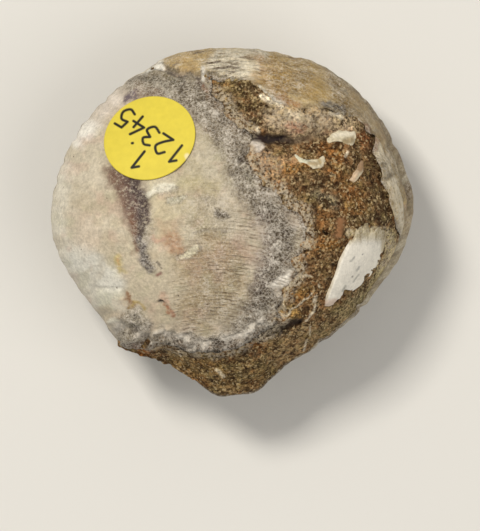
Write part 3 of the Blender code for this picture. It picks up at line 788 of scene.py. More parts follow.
# %% Stains on the disc
DISC_STROKES = [
    # the grey etched band and its mottled upper end
    ("8f836f", 0.85, 2.0, ETCHED_BAND),
    ("7b705f", 0.85, 1.8, [(3.4, 1.4), (5.2, -1.0), (4.6, -4.5), (3.2, -8.2)]),
    ("7d705a", 0.8, 0.9, [(-0.6, 11.0), (1.2, 9.4), (1.6, 6.6), (2.8, 3.6)]),
    ("8f836c", 0.85, 1.2, [(-9.0, 14.7), (-6.4, 14.4), (-4.0, 13.6)]),
    ("8b7355", 0.6, 0.6, [(-9.6, 13.7), (-8.6, 13.4)]),
    ("a48d78", 0.6, 0.5, [(-8.8, 12.9), (-7.6, 13.3)]),
    ("6f6a58", 0.85, 0.5, [(-8.7, 14.8), (-7.7, 14.9)]),
    ("7c765f", 0.85, 0.6, [(-6.8, 15.0), (-5.8, 14.7)]),
    ("c3bba8", 0.7, 0.45, [(-7.6, 14.0), (-6.6, 13.6)]),
    # violet grey down the band, and dark below its foot: painted shadow beside the crevice in the stone
    ("97877f", 0.45, 0.9, [(3.4, 0.4), (3.6, -3.0), (2.8, -7.0)]),
    ("3a302a", 0.85, 0.35, [(2.7, -11.3), (3.7, -10.7)]),
    # where the rim's layer has split away, and chips along the bay
    # painted shadow at the edge where the rim's layer has split away
    ("4d4436", 0.9, 0.3, [(-5.4, 15.2), (-5.1, 14.7), (-5.5, 13.9)]),
    ("4c3a2e", 0.9, 0.4, [(-3.7, 15.3), (-3.5, 14.4), (-2.9, 13.9)]),
    ("8a7a58", 0.6, 0.5, [(-8.4, 15.2), (-7.0, 15.1)]),
    ("e6e1d6", 0.95, 0.42, [(-2.9, 15.5), (-2.8, 14.8)]),
    # the white lip at the upper left edge: pale calcite with painted highlight
    ("efece2", 0.95, 0.4, [(-8.9, 15.6), (-7.8, 16.0), (-6.8, 16.3)]),
    # painted shadow in the hole beside the crevice in the stone
    ("443830", 0.95, 0.45, [(1.6, 8.1), (1.0, 7.0), (1.0, 6.4)]),
    ("d3cab2", 0.85, 0.45, [(1.6, 5.7), (2.0, 4.7), (2.5, 3.9)]),
    ("544e46", 0.9, 0.42, [(-1.6, 12.0), (-1.0, 11.3)]),
    ("8a5a34", 0.8, 0.3, [(-2.9, 13.9), (-2.5, 13.3)]),
    ("a79a86", 0.7, 1.0, [(-1.9, 11.9), (-0.4, 9.0), (0.9, 8.0)]),
    # the bright broken foot
    ("b9ad99", 0.8, 1.0, BROKEN_FOOT),
    ("e6dfd2", 0.95, 0.62, BRIGHT_FOOT),
    # the plum streak and its grey tail
    ("634130", 0.92, 1.2, [(-12.2, 5.0), (-11.7, 3.6), (-11.0, 1.9), (-10.3, 0.4)]),
    ("78553f", 0.9, 0.6, [(-10.3, 0.6), (-10.1, -1.4), (-10.1, -2.8)]),
    ("4b2e28", 0.9, 1.0, [(-11.0, 5.6), (-10.4, 3.7), (-9.9, 2.2), (-9.5, 0.6)]),
    ("35211f", 0.92, 0.5, [(-10.4, 4.6), (-9.9, 3.0), (-9.5, 1.6), (-9.3, -0.2), (-9.6, -1.6)]),
    ("6a6462", 0.9, 0.55, [(-9.7, -2.0), (-9.6, -3.6), (-8.8, -4.7)]),
    # above the dot
    ("5a4c58", 0.9, 0.34, [(-11.1, 12.5), (-10.4, 13.0), (-9.9, 13.2)]),
    ("917d68", 0.6, 0.5, [(-9.6, 12.9), (-7.6, 13.2)]),
    # the rusty spot with its flecks, and warm tints to the right of it
    ("b28a6a", 0.75, 1.1, [(-6.6, -1.7), (-6.0, -2.8)]),
    ("97704f", 0.7, 0.22, [(-6.9, -1.5), (-6.3, -1.8)]),
    ("97704f", 0.7, 0.2, [(-6.2, -2.3), (-5.6, -2.6)]),
    ("9b7656", 0.7, 0.2, [(-6.9, -2.5), (-6.3, -3.1)]),
    ("b2967a", 0.5, 0.8, [(-7.6, -0.4), (-6.4, -0.6)]),
    ("c39a86", 0.6, 0.4, [(-8.2, -1.6), (-7.6, -2.0)]),
    ("b2957a", 0.4, 1.5, [(-3.4, -4.4), (-0.6, -3.8)]),
    ("b9998a", 0.45, 1.0, [(0.6, -2.2), (2.2, -3.6)]),
    ("ae9a86", 0.4, 0.9, [(1.2, -1.2), (3.0, -1.2)]),
    # white crystals, and the hairline beside them
    ("ece8d4", 0.9, 0.5, [(-8.9, 2.9), (-7.4, 3.5), (-6.2, 3.6)]),
    ("dcd9c0", 0.7, 0.3, [(-6.8, 2.2), (-5.2, 2.5)]),
    ("efe8c8", 0.85, 0.3, [(-5.7, -3.8), (-4.7, -3.4), (-3.9, -3.0)]),
    ("6e6550", 0.7, 0.12, [(-3.8, 2.6), (-2.1, 2.7)]),
    # yellow and brown spots at the lower left, and dark specks
    ("c0ae74", 0.75, 0.5, [(-12.2, -3.9), (-11.7, -5.3)]),
    ("b98a56", 0.55, 0.16, [(-12.1, -4.0), (-11.9, -4.6)]),
    ("835b36", 0.85, 0.25, [(-11.1, -7.6), (-10.8, -8.3), (-10.2, -8.8)]),
    ("a8904c", 0.8, 0.28, [(-10.4, -8.5), (-9.7, -8.9), (-9.2, -9.2)]),
    ("bb9780", 0.7, 0.5, [(-7.3, -7.9), (-7.0, -8.7)]),
    ("97603c", 0.85, 0.32, [(-7.3, -8.9), (-6.4, -9.7)]),
    ("2f241e", 0.95, 0.26, [(-7.85, -8.65), (-7.65, -8.55)]),
    ("3f3530", 0.8, 0.16, [(-9.7, -4.2), (-9.4, -4.0)]),
    ("3f3530", 0.8, 0.16, [(-7.7, -4.3), (-7.4, -4.9)]),
    ("7a4a40", 0.8, 0.22, [(-7.9, -5.8), (-7.3, -5.5)]),
    # the pale and sandy lower left corner
    ("cfcdb8", 0.8, 0.9, [(-13.2, -7.9), (-12.2, -8.3)]),
    ("dad1be", 0.8, 0.5, [(-12.2, -8.4), (-11.2, -8.9)]),
    ("ebe6d2", 0.9, 0.3, [(-12.6, -10.1), (-11.9, -9.9), (-11.0, -10.2)]),
    ("bab4aa", 0.85, 0.7, [(-12.0, -10.7), (-11.6, -11.6)]),
    ("beb39e", 0.85, 1.1, [(-10.4, -9.9), (-9.4, -10.8), (-9.8, -12.0)]),
    ("3c342c", 0.9, 0.35, [(-10.7, -11.4), (-10.1, -11.0)]),
    ("6f5c45", 0.75, 0.5, [(-9.4, -12.1), (-8.2, -12.3)]),
    ("4f4335", 0.85, 0.25, [(-7.9, -11.6), (-7.7, -12.5)]),
    ("d9d0c2", 0.85, 0.3, [(-9.9, -11.5), (-9.6, -12.2)]),
    ("a99a7c", 0.8, 0.8, [(-11.2, -12.1), (-9.4, -12.8), (-7.4, -12.4)]),
    ("6b5136", 0.85, 0.45, [(-10.9, -12.8), (-8.4, -12.9)]),
    ("8c5530", 0.8, 0.3, [(-9.9, -12.9), (-9.0, -13.2)]),
    ("c8baa0", 0.6, 0.9, [(-7.8, -10.4), (-6.2, -11.2)]),
    # the white patch, the bruise in the middle and the crack
    ("5d574b", 0.8, 0.45, [(2.4, -8.7), (3.0, -9.3), (3.8, -9.5)]),
    ("f2ebde", 1.0, 0.55, WHITE_PATCH),
    ("dccfbd", 0.8, 0.3, [(4.5, -7.2), (4.8, -7.7)]),
    ("6d6354", 0.85, 0.3, [(-1.6, 1.0), (-0.8, 0.6)]),
    ("8f8676", 0.7, 0.16, [(-4.2, -0.95), (-2.0, -1.0), (-0.5, -1.0)]),
    ("403830", 0.85, 0.14, CRACK),
]
print(len(DISC_STROKES), "stains on the disc")

# %% [markdown]
# ### Stains on the rim
# The outer layer is ochre with paler laminae at the top, where it flakes, and it greys towards the
# right. The lip at the far right is cream, with thin brown growth lines beside it.

# %% Stains on the rim
RIM_STROKES = [
    ("c4a873", 0.85, 0.9, [(-6.8, 16.2), (-4.4, 16.2), (-2.4, 16.7)]),
    ("a3834c", 0.6, 0.35, [(-5.2, 16.4), (-4.0, 15.9)]),
    ("ebe1c8", 0.95, 1.1, LAMINAE),
    ("d6d0bd", 0.8, 0.5, [(-1.6, 17.1), (1.0, 17.3), (3.2, 17.0)]),
    # the white lip at the upper left edge: pale calcite with painted highlight
    ("ece8dc", 0.95, 0.3, [(-8.2, 16.0), (-7.0, 16.3)]),
    ("e6e1d6", 0.95, 0.35, [(-2.9, 15.6), (-2.8, 14.8)]),
    ("a67b45", 0.6, 0.45, [(2.9, 16.6), (3.0, 15.4), (3.6, 14.6)]),
    ("a5824a", 0.7, 0.8, [(2.3, 15.0), (3.4, 14.2), (4.8, 13.2)]),
    ("c09c5a", 0.6, 1.3, [(4.2, 15.4), (5.8, 14.2), (7.4, 13.0)]),
    ("e0dac8", 0.95, 0.4, [(2.8, 13.0), (3.9, 12.5), (4.9, 12.0)]),
    ("a8763e", 0.7, 0.45, [(4.9, 12.6), (6.4, 11.8)]),
    ("a0854f", 0.7, 1.7, [(7.4, 14.4), (10.2, 12.8), (12.0, 11.4)]),
    ("95815c", 0.75, 1.1, [(9.5, 14.9), (12.6, 12.6), (15.0, 9.6)]),
    ("8c7c5f", 0.7, 0.6, [(9.4, 11.6), (12.6, 11.0), (14.4, 9.2)]),
    ("d2c7ae", 0.92, 0.62, [(14.7, 7.6), (15.5, 6.0), (16.2, 3.7), (16.8, 1.2), (17.1, -1.4)]),
    ("7d4f3a", 0.7, 0.4, [(13.6, 9.4), (14.3, 8.4), (14.6, 7.2)]),
    ("5f5440", 0.8, 0.35, [(15.4, 5.6), (15.9, 4.9)]),
    ("6a5d46", 0.7, 0.14, [(15.3, 4.4), (16.6, 4.9)]),
    ("857759", 0.7, 0.3, [(15.6, 8.2), (16.6, 5.8), (17.3, 2.8), (17.6, 0.0)]),
    ("a5836a", 0.6, 0.3, [(17.9, 1.6), (18.1, -0.8)]),
    ("3c3733", 0.9, 0.4, [(9.6, 11.8), (11.2, 11.4)]),
    ("d2c9b4", 0.7, 0.3, [(16.3, 4.4), (17.0, 1.8), (17.4, -1.0)]),
    ("403830", 0.85, 0.14, CRACK),
]
print(len(RIM_STROKES), "stains on the rim")

# %% [markdown]
# ### Where the disc is etched
# Etching is a number from 0 to 1 at each point, from strokes without a colour: a strength, a half
# width in mm and a path. It gives the surface its pits, and the material its crystals.

# %% Where the disc is etched
ETCHED = [
    (0.75, 1.7, ETCHED_BAND),
    (0.9, 1.5, [(3.6, 1.2), (5.4, -1.4), (4.6, -4.5), (3.4, -8.0)]),
    (1.0, 0.8, BROKEN_FOOT),
    (0.7, 0.5, [(-8.9, 2.8), (-7.4, 3.3), (-6.0, 3.4)]),
    (0.8, 0.4, [(-6.8, 2.2), (-5.2, 2.5)]),
    (0.55, 0.5, [(-5.8, -3.9), (-4.7, -3.4), (-3.8, -3.0)]),
    (0.8, 0.5, [(-1.6, 1.0), (-0.7, 0.6)]),
    (0.5, 1.2, [(-11.5, 5.6), (-10.8, 3.9), (-10.1, 2.2), (-9.5, 0.4), (-9.4, -1.9)]),
    (0.7, 0.6, [(-9.5, -2.6), (-9.2, -4.2), (-8.4, -4.8)]),
    (1.0, 1.3, [(-10.4, -10.2), (-9.6, -11.2), (-9.8, -12.4)]),
    (0.5, 0.6, [(-12.0, -11.0), (-11.2, -12.0)]),
    (1.0, 0.9, [(-11.2, -12.0), (-9.6, -12.9), (-7.2, -12.4)]),
    (0.8, 1.1, [(-9.0, 14.6), (-4.0, 13.8)]),
    (0.2, 3.2, [(-2.5, 0.5), (-1.5, -8.0)]),
]
print(len(ETCHED), "etched places")

# %% [markdown]
# ### All the colours together
# Blotches of a millimetre or two come first, then the stains, then sand that clings to the broken edge.

# %% Colours of the upper valve
BLOTCHES = [  # colour, strength, contrast, threshold, size in mm, seed
    ("d8cfbd", 0.35, 1.4, 0.0, 2.4, 13), ("a8977a", 0.35, 1.4, 0.0, 1.8, 14),
    ("c6a594", 0.3, 1.8, 0.2, 1.4, 18), ("aeab88", 0.25, 1.8, 0.2, 1.4, 19),
]


def upper_colour(xy, layer):
    """The shell's ground colour, and the same with its stains."""
    at, here, layer = ragged(xy, 0.45), spread(xy), layer[..., None]
    worn = paint(at, "c0b49c", WIDE_STROKES)
    for colour, most, contrast, threshold, size, seed in BLOTCHES:
        worn = mix_in(worn, colour, most * ease(contrast * rough(here, size, seed) - threshold))
    rim = np.broadcast_to(linear("b0965c"), worn.shape)
    for colour, width, length, seed in (("d8c89e", 0.45, 3.0, 15), ("7a5f32", 0.4, 2.0, 16)):
        rim = mix_in(rim, colour, 0.65 * ease(1.6 * streaks(xy, width, length, seed)))
    rim = mix_in(rim, "8f6a38", 0.45 * ease(1.8 * rough(here, 1.1, 22) - 0.1))
    ground = worn + (rim - worn) * layer
    worn = paint(at, worn, DISC_STROKES)
    # Sand clings to the broken edge and browns it, but not where a stain is darker already.
    sandy = 0.85 * ease((worn.mean(axis=-1) - 0.08) / 0.1) * ease(1 - shell_left(xy) / 0.9)
    worn = mix_in(worn, "83694a", sandy * ease(0.55 + rough(here, 0.8, 17)))
    rim = mix_in(rim, "7f6a48", 0.8 * ease(1 - distance_to(RIM_EDGE[2:9], at) / 1.1))
    rim = paint(at, rim, RIM_STROKES)
    return ground, worn + (rim - worn) * layer


print(len(BLOTCHES), "kinds of blotch under the stains")

# %% [markdown]
# ## Relief of the upper valve
# The rim keeps its ledges and ridges. The disc has lost its outer layer, so it lies lower and is
# gently uneven, pitted where it is etched and lumpy where crystals stand up at its lower edge.

# %% Relief of the upper valve
CREASE = [(-14.1, -6.9), (-12.6, -7.0), (-11.7, -7.0), (-11.35, -7.8)]
SWELLS = [  # height in mm, half width and path; below 0 is a groove
    (0.3, 1.2, [(-13.2, -7.9), (-11.6, -8.6)]),
    (0.2, 0.45, [(-12.6, -10.1), (-11.9, -9.9), (-11.0, -10.2)]),
    (-0.14, 0.2, CREASE),
]
HOLES = [(0.3, 0.3, [(-7.85, -8.65), (-7.65, -8.55)]), (0.35, 0.4, [(1.6, 8.1), (1.0, 6.4)])]
LUMPY = [  # height in mm, half width, path, size of the lumps in mm, seed
    (0.4, 0.8, BRIGHT_FOOT, 0.75, 39),
    (0.6, 1.1, [(-10.4, -10.2), (-10.2, -12.2), (-7.4, -12.4)], 1.0, 38),
]


def upper_relief(xy, layer):
    """Height of the upper valve's surface above its smooth dome."""
    share, grown, at, here = ridge_share(xy), grown_mm(xy), ragged(xy), spread(xy)
    kept = 0.16 * ledges(share) + 0.04 * ridges(grown, 0.62) + 0.05 * rough(here, 1.0, 31)
    kept += (0.12 - 0.07 * ease(xy[..., 0] / 4.0)) * streaks(xy, 0.5, 3.0, 36)
    fade = 1 - share_out(xy) ** 8
    bare = -WORN * fade + 0.08 * rough(here, 2.4, 32) + 0.03 * rough(here, 0.7, 35)
    bare += cover(at, ETCHED) * (0.12 * rough(here, 0.8, 33) - 0.14 * ease(1 - 2.2 * spots(here, 0.7, 34)))
    for height, half_width, path in SWELLS:
        bare += height * stroke(xy, path, half_width)
    for depth, half_width, path in HOLES:
        bare -= depth * stroke(at, path, half_width)
    for height, half_width, path, size, seed in LUMPY:
        bare += height * stroke(at, path, half_width) * rough(here, size, seed)
    return bare + (kept - bare) * layer - 0.2 * stroke(at, CRACK, 0.25)


print("the disc lies", WORN, "mm below the rim's outer face")

# %% [markdown]
# ## The upper valve
# The valve is one C-shaped plate, made as a grid laid over the whole dome with the bay left out. A
# square grid wrapped onto the disc keeps its cells of one size, where spokes would crowd together.

# %% The plate of the upper valve
CELLS = 270


def round_grid(cells):
    """Radius from 0 to 1 and angle of a square grid wrapped onto a disc, so that squares become rings."""
    a, b = np.meshgrid(*[np.linspace(-1, 1, cells + 1)] * 2, indexing="ij")
    a, b = np.where(np.abs(a) < 1e-9, 1e-9, a), np.where(np.abs(b) < 1e-9, 1e-9, b)
    wide = np.abs(a) > np.abs(b)
    radius = np.where(wide, a, b)
    angle = np.where(wide, math.pi / 4 * b / a, math.pi / 2 - math.pi / 4 * a / b)
    return np.abs(radius), angle + np.where(radius < 0, math.pi, 0)


def on_plan(radius, angle, margin_inset):
    """Plan points of a round grid, drawn closer together near the margin, where the dome is steep."""
    out = (1 - (1 - radius) ** 1.6) * (reach(angle) - margin_inset)
    return DOME_CENTRE + out[..., None] * np.stack([np.cos(angle), np.sin(angle)], axis=-1)


radius, angle = round_grid(CELLS)
xy = on_plan(radius, angle, lip_inset(angle))
middle = (xy[:-1, :-1] + xy[1:, :-1] + xy[1:, 1:] + xy[:-1, 1:]) / 4
keep = tidy(shell_left(middle) > 0)
xy = settle(xy, keep, shell_left)
layer = ridged(xy)
inward = np.clip(shell_left(xy), 0, None)
top = swell(at_height(xy, upper_face(xy)), upper_relief(xy, layer))
top[..., 2] = np.maximum(top[..., 2], UPPER_FOOT + 0.2)
under = at_height(xy, np.maximum(upper_face(xy, UPPER_SHELL) - 0.3, UPPER_FOOT))
under[..., 2] = np.maximum(under[..., 2], top[..., 2] - 0.3 - 0.9 * inward)  # thin at the broken edge
under[..., 2] = np.minimum(under[..., 2], top[..., 2] - 0.1)
points, faces, used = slab(top, under, keep)
print("the plate keeps", np.count_nonzero(keep), "of", keep.size, "cells")

# %% [markdown]
# ### What its points carry
# The material asks the mesh how etched the shell is and how clearly its growth lines show. It is
# etched where the strokes say so and along the break, but hardly in the darkest stains or the whitest
# crystals. Lines show on the rim and in the lower half of the disc, in patches.

# %% The upper valve
etched = np.maximum(cover(ragged(xy), ETCHED), 0.9 * ease(1 - inward / 0.8)) * (1 - layer)
etched = etched * (1 - 0.9 * stroke(ragged(xy), WHITE_PATCH, 0.55))
patchy = ease(0.5 + noise(spread(xy), 2.2, 37))
on_disc = ease((xy[..., 0] + 8.0) / 4.0)
lower_down = 0.2 + 0.7 * ease((3.0 - xy[..., 1]) / 4.0)
lined = (0.85 - 0.25 * ease(xy[..., 0] / 4.0)) * layer + lower_down * on_disc * (1 - layer)
lined = lined * (0.4 + 0.6 * patchy) * (1 - 0.7 * etched)
lined = lined + 0.7 * stroke(xy, LAMINAE, 1.2) * layer
worn_flow = flow(xy, np.linalg.norm(xy - WORN_CENTRE, axis=-1), WORN_CENTRE)
ground, tint = upper_colour(xy, layer)
light = tint.mean(axis=-1)
etched = etched * (0.25 + 0.75 * ease((light - 0.06) / 0.1))  # the darkest stains are solid
etched = etched * (1 - 0.65 * ease((light - 0.45) / 0.2))  # and the whitest crystals have few pits
values = both_faces({
    "ground": ground.reshape(-1, 3),
    "tint": tint.reshape(-1, 3),
    "crumb": (etched + 0.05 + 0.14 * on_disc * (1 - layer) + layer * (0.15 + 0.3 * patchy)).reshape(-1),
    "lined": lined.reshape(-1),
    "flow": np.where(layer[..., None] > 0.5, flow(xy, grown_mm(xy)), worn_flow).reshape(-1, 3),
}, used)
upper = piece("upper_valve_worn", points, faces, upper_shell, values)
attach(upper, "root")
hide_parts("upper_valve")

# %% [markdown]
# ## The lower valve
# The valve underneath is whole. Its surface is the outline shrunk towards the umbo, row by row, so its
# rows are growth lines and the ledges need no extra work. Only its rim shows from above, but it is
# what the fossil rests on and what is seen from the side.

# %% Growth rows of the lower valve
AROUND = 720
ROUND_RADIUS = 17.0
turn, direction = compass(AROUND)


def growth_line(margin, share):
    """The margin shrunk to the umbo by a share, and rounder the smaller it is."""
    angle = bearing(margin)[..., None]
    disc = DOME_CENTRE + ROUND_RADIUS * np.concatenate([np.cos(angle), np.sin(angle)], axis=-1)
    return UMBO + share * (margin + 0.6 * (1 - share) * (disc - margin) - UMBO)


def hoop(margin_inset):
    """The outline drawn in by an inset."""
    return DOME_CENTRE + (reach(turn) - margin_inset)[:, None] * direction


margin = hoop(0)
share = np.linspace(0.02, 1, 118)[:, None, None] ** 0.85
xy = growth_line(margin[None], share)
here = at_height(xy, lower_face(xy))
crowding = np.clip(np.linalg.norm(margin - UMBO, axis=1) / 14, 0, 1)
grown = GROWN * share[..., 0] * np.ones(AROUND)
step = 0.26 * ledges(share[..., 0]) * crowding + 0.07 * ridges(grown, 0.7)
step = step * np.minimum(1, 6 * (1 - share[..., 0])) + 0.08 * rough(here, 1.4, 45)
outside = swell(here, step * np.minimum(1, 3 * share[..., 0]))
outside[..., 2] = np.maximum(outside[..., 2], 0)
print(len(outside), "rows from the umbo to the margin, of", AROUND, "points each")

# %% [markdown]
# ### Lip and colours of the lower valve
# The lip rolls in to the plane where the valves meet, and a few rings inside are enough, because the
# stone hides them. The colours are strokes in plan again, pale on the left and earthy at the beak, and
# the pale stroke is carried round the upper left as painted light over the shade in the seam there.

# %% The lower valve
LIP_PROFILE = [  # share of the curl, share of the height, and wear in mm
    (0.05, 0.2, 0.0), (0.15, 0.4, 0.03), (0.35, 0.6, 0.0), (0.6, 0.8, 0.05), (0.85, 0.93, 0.02),
    (1.0, 1.0, 0.1),
]
LOWER_STROKES = [
    ("9a8c6f", 0.8, 1.6, [(9.0, 15.6), (15.4, 9.8), (18.0, 3.0)]),
    ("786a4d", 0.5, 0.4, [(17.6, 4.6), (18.2, 1.0)]),
    ("a59a80", 0.7, 1.0, [(17.6, -2.0), (15.0, -6.6), (11.0, -11.0), (7.0, -13.8)]),
    # pale on the left, and painted light round the upper left, where the seam between the valves is in shade
    ("d6ceb8", 0.85, 1.6, [(-8.0, 16.0), (-13.6, 12.2), (-18.0, 4.0), (-17.4, -4.0), (-12.0, -11.6)]),
    ("6e5a3a", 0.9, 1.3, [(-10.0, -13.4), (-6.6, -14.6), (-2.4, -17.2), (0.4, -17.6), (3.4, -16.6),
                          (6.0, -14.6)]),
    ("a08a63", 0.6, 4.0, [(2.0, 3.0), (8.0, -2.0)]),
    ("b7aa8d", 0.6, 5.0, [(-8.0, 2.0), (-2.0, 8.0)]),
]
curl = lip_inset(turn)
lip = np.array([at_height(hoop(part * curl + wear), EQUATOR_Z + rise * LIP)
                for part, rise, wear in LIP_PROFILE])
lip = swell(lip, 0.08 * rough(lip, 1.4, 45))
lip[..., 2] = np.minimum(lip[..., 2], COMMISSURE_Z)
inner = hoop(LOWER_SHELL)
inside_rings = [at_height(inner, COMMISSURE_Z)] + bowl_rings(inner, LOWER_SHELL)[::-1]
rows = np.concatenate([outside, lip, np.array(inside_rings)])
first = [*UMBO, lower_face(UMBO[None])[0]]
last = [*DOME_CENTRE, lower_face(DOME_CENTRE[None], LOWER_SHELL)[0]]
points, faces = wrap(rows, first, last)
plan = points[:, :2]
plan_grown = np.concatenate([grown.ravel(), np.full(len(points) - grown.size, GROWN)])
tint = paint(ragged(plan), "a8987a", LOWER_STROKES)
values = {
    "ground": tint,
    "tint": mix_in(tint, "7a6747", 0.7 * ease(1.5 * rough(points, 2.5, 48))),
    "crumb": 0.2 + 0.4 * ease(1.5 * noise(points, 5.0, 47)),
    "lined": np.full(len(points), 0.75),
    "flow": flow(plan, plan_grown),
}
lower = piece("lower_valve_ridged", points, faces, lower_shell, values)
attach(lower, "root")
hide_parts("lower_valve")

# %% [markdown]
# ## Relief of the sandstone
# Mud and sand filled the closed shell and set hard, so the filling is a cast of the inside. Where the
# upper valve is gone it is weathered into lumps and crevices, and thin sections of other shells stand
# up in it as veins. First come the places, as strokes without a colour.

# %% Crevices and veins
FLAKE = [
    (11.5, -2.2), (12.4, -1.1), (14.9, -0.9), (15.7, -1.4), (15.4, -2.9), (15.0, -4.4), (13.9, -5.9),
    (12.7, -7.2), (11.6, -7.5), (10.9, -8.2), (9.6, -8.6), (9.8, -7.1), (10.8, -4.2),
]
CREVICES = [  # depth in mm, half width and path
    (0.8, 0.45, [(2.1, 8.5), (3.6, 8.2), (5.8, 8.1)]),
    (0.6, 0.5, [(0.9, 6.6), (1.6, 7.8)]),
    (0.7, 0.4, [(3.4, -11.4), (4.2, -11.0), (5.5, -10.5), (6.6, -10.2)]),
    (0.5, 0.3, [(9.8, 11.5), (10.8, 11.2)]),
    (0.6, 0.16, [(9.3, -1.1), (9.6, -1.3)]),
    (0.4, 0.25, [(7.4, 5.3), (8.0, 5.1)]),
    (0.4, 0.3, [(15.0, 4.4), (15.6, 2.0), (16.1, 0.2)]),
    (0.5, 0.2, [(1.3, -17.4), (1.7, -17.6)]),
]
VEINS = [  # strength, half width in mm and path
    (0.9, 0.09, [(5.4, -6.75), (6.0, -6.25), (6.8, -5.75), (7.5, -5.5), (8.05, -5.7)]),
    (0.9, 0.09, [(5.1, -9.7), (5.8, -9.4), (6.5, -8.75), (7.2, -8.15), (8.05, -7.4)]),
    (0.7, 0.07, [(5.4, -7.6), (5.1, -8.3), (5.5, -8.95)]),
    (0.9, 0.12, [(8.5, -8.55), (8.35, -9.2), (7.8, -9.8), (7.4, -10.1)]),
    (0.9, 0.18, [(8.5, -7.7), (8.45, -8.1)]),
    (0.8, 0.12, [(8.85, -6.5), (8.85, -6.7)]),
    (0.6, 0.1, [(8.05, -10.7), (7.8, -11.7)]),
    (0.6, 0.12, [(7.6, -12.2), (7.4, -13.2)]),
    (0.9, 0.07, [(-5.5, -13.15), (-5.25, -13.8)]),
    (0.6, 0.2, [(-1.6, -15.2), (-0.9, -15.8)]),
    (0.9, 0.13, [(11.5, 6.5), (11.75, 6.95)]),
    (0.95, 0.3, [(2.9, 12.6), (3.9, 12.2), (4.9, 11.7)]),
    (0.9, 0.2, [(2.5, 9.4), (2.7, 9.1)]),
    (0.5, 0.5, [(5.6, 10.9), (6.8, 10.6)]),
    (0.9, 0.28, [(10.0, 11.0), (11.0, 10.6)]),
]
CHALKY_BIT = [(2.1, 7.9), (2.9, 7.6), (2.5, 7.3)]
PEBBLE = [(10.95, 0.0), (10.75, -1.35)]
FIBROUS = [  # where shell once lay, and left the stone in fibres
    (1.0, 2.0, [(-1.0, 14.0), (0.5, 12.8), (2.2, 11.5)]),
    (1.0, 0.9, [(12.0, -1.4), (15.8, -1.3), (16.3, -3.0), (15.2, -5.4), (13.6, -7.4)]),
]
print(len(CREVICES), "crevices and", len(VEINS), "veins")

# %% [markdown]
# ### How deep the stone lies
# All of the relief is a depth below the shell's outer face, which the stone meets nearly level at the
# rim and steps down from at the disc. It lies deeper at the beak and under the flake.

# %% How deep the stone lies


def stone_relief(xy):
    """Depth of the sandstone below the shell's outer face, less its lumps and grains."""
    here, at = spread(xy), ragged(xy, 0.25)
    open_ground = ease((signed(BAY, xy) + 1.5) / 1.2)
    beak = 0.7 * np.clip((-10.0 - xy[..., 1]) / 4.0, 0, 1)
    at_rim = ease(1 - distance_to(RIM_EDGE, xy) / 1.6)
    flush = 0.7 - 0.4 * ease((xy[..., 0] - 12.5) / 2.0)  # nearly level with the rim, but not on the right
    at_disc = ease(1 - distance_to(DISC_EDGE, xy) / 1.2)
    depth = BARED + beak + 0.35 * ease(1 + 2 * signed(FLAKE, xy)) - at_rim * flush - 0.28 * at_disc
    lumps = 0.24 * rough(here, 2.2, 50) + 0.25 * rough(here, 0.8, 51) + 0.06 * (0.5 - spots(here, 0.34, 52))
    stretched = here * [2.4, 0.5, 1.0]
    lumps += 0.12 * cover(at, FIBROUS) * rough(stretched, 0.8, 53)
    lumps += 0.25 * stroke(xy, PEBBLE, 0.55) + 0.3 * stroke(at, CHALKY_BIT, 0.5)
    hidden = (1 - open_ground) * (UPPER_SHELL + 0.55)  # under the shell
    return hidden + open_ground * (depth - lumps + cover(at, CREVICES) - 0.1 * cover(at, VEINS))


def stone_face(xy):
    """Height of the sandstone: the shell's outer face less the depth, which fades out at the margin."""
    rise = upper_face(xy) - UPPER_BASE
    return UPPER_BASE + rise - np.clip(rise / 3.0, 0, 1) * stone_relief(xy)


print("the stone in the bay stands at", stone_face(np.array([[9.0, 0.0]])).round(2), "mm")
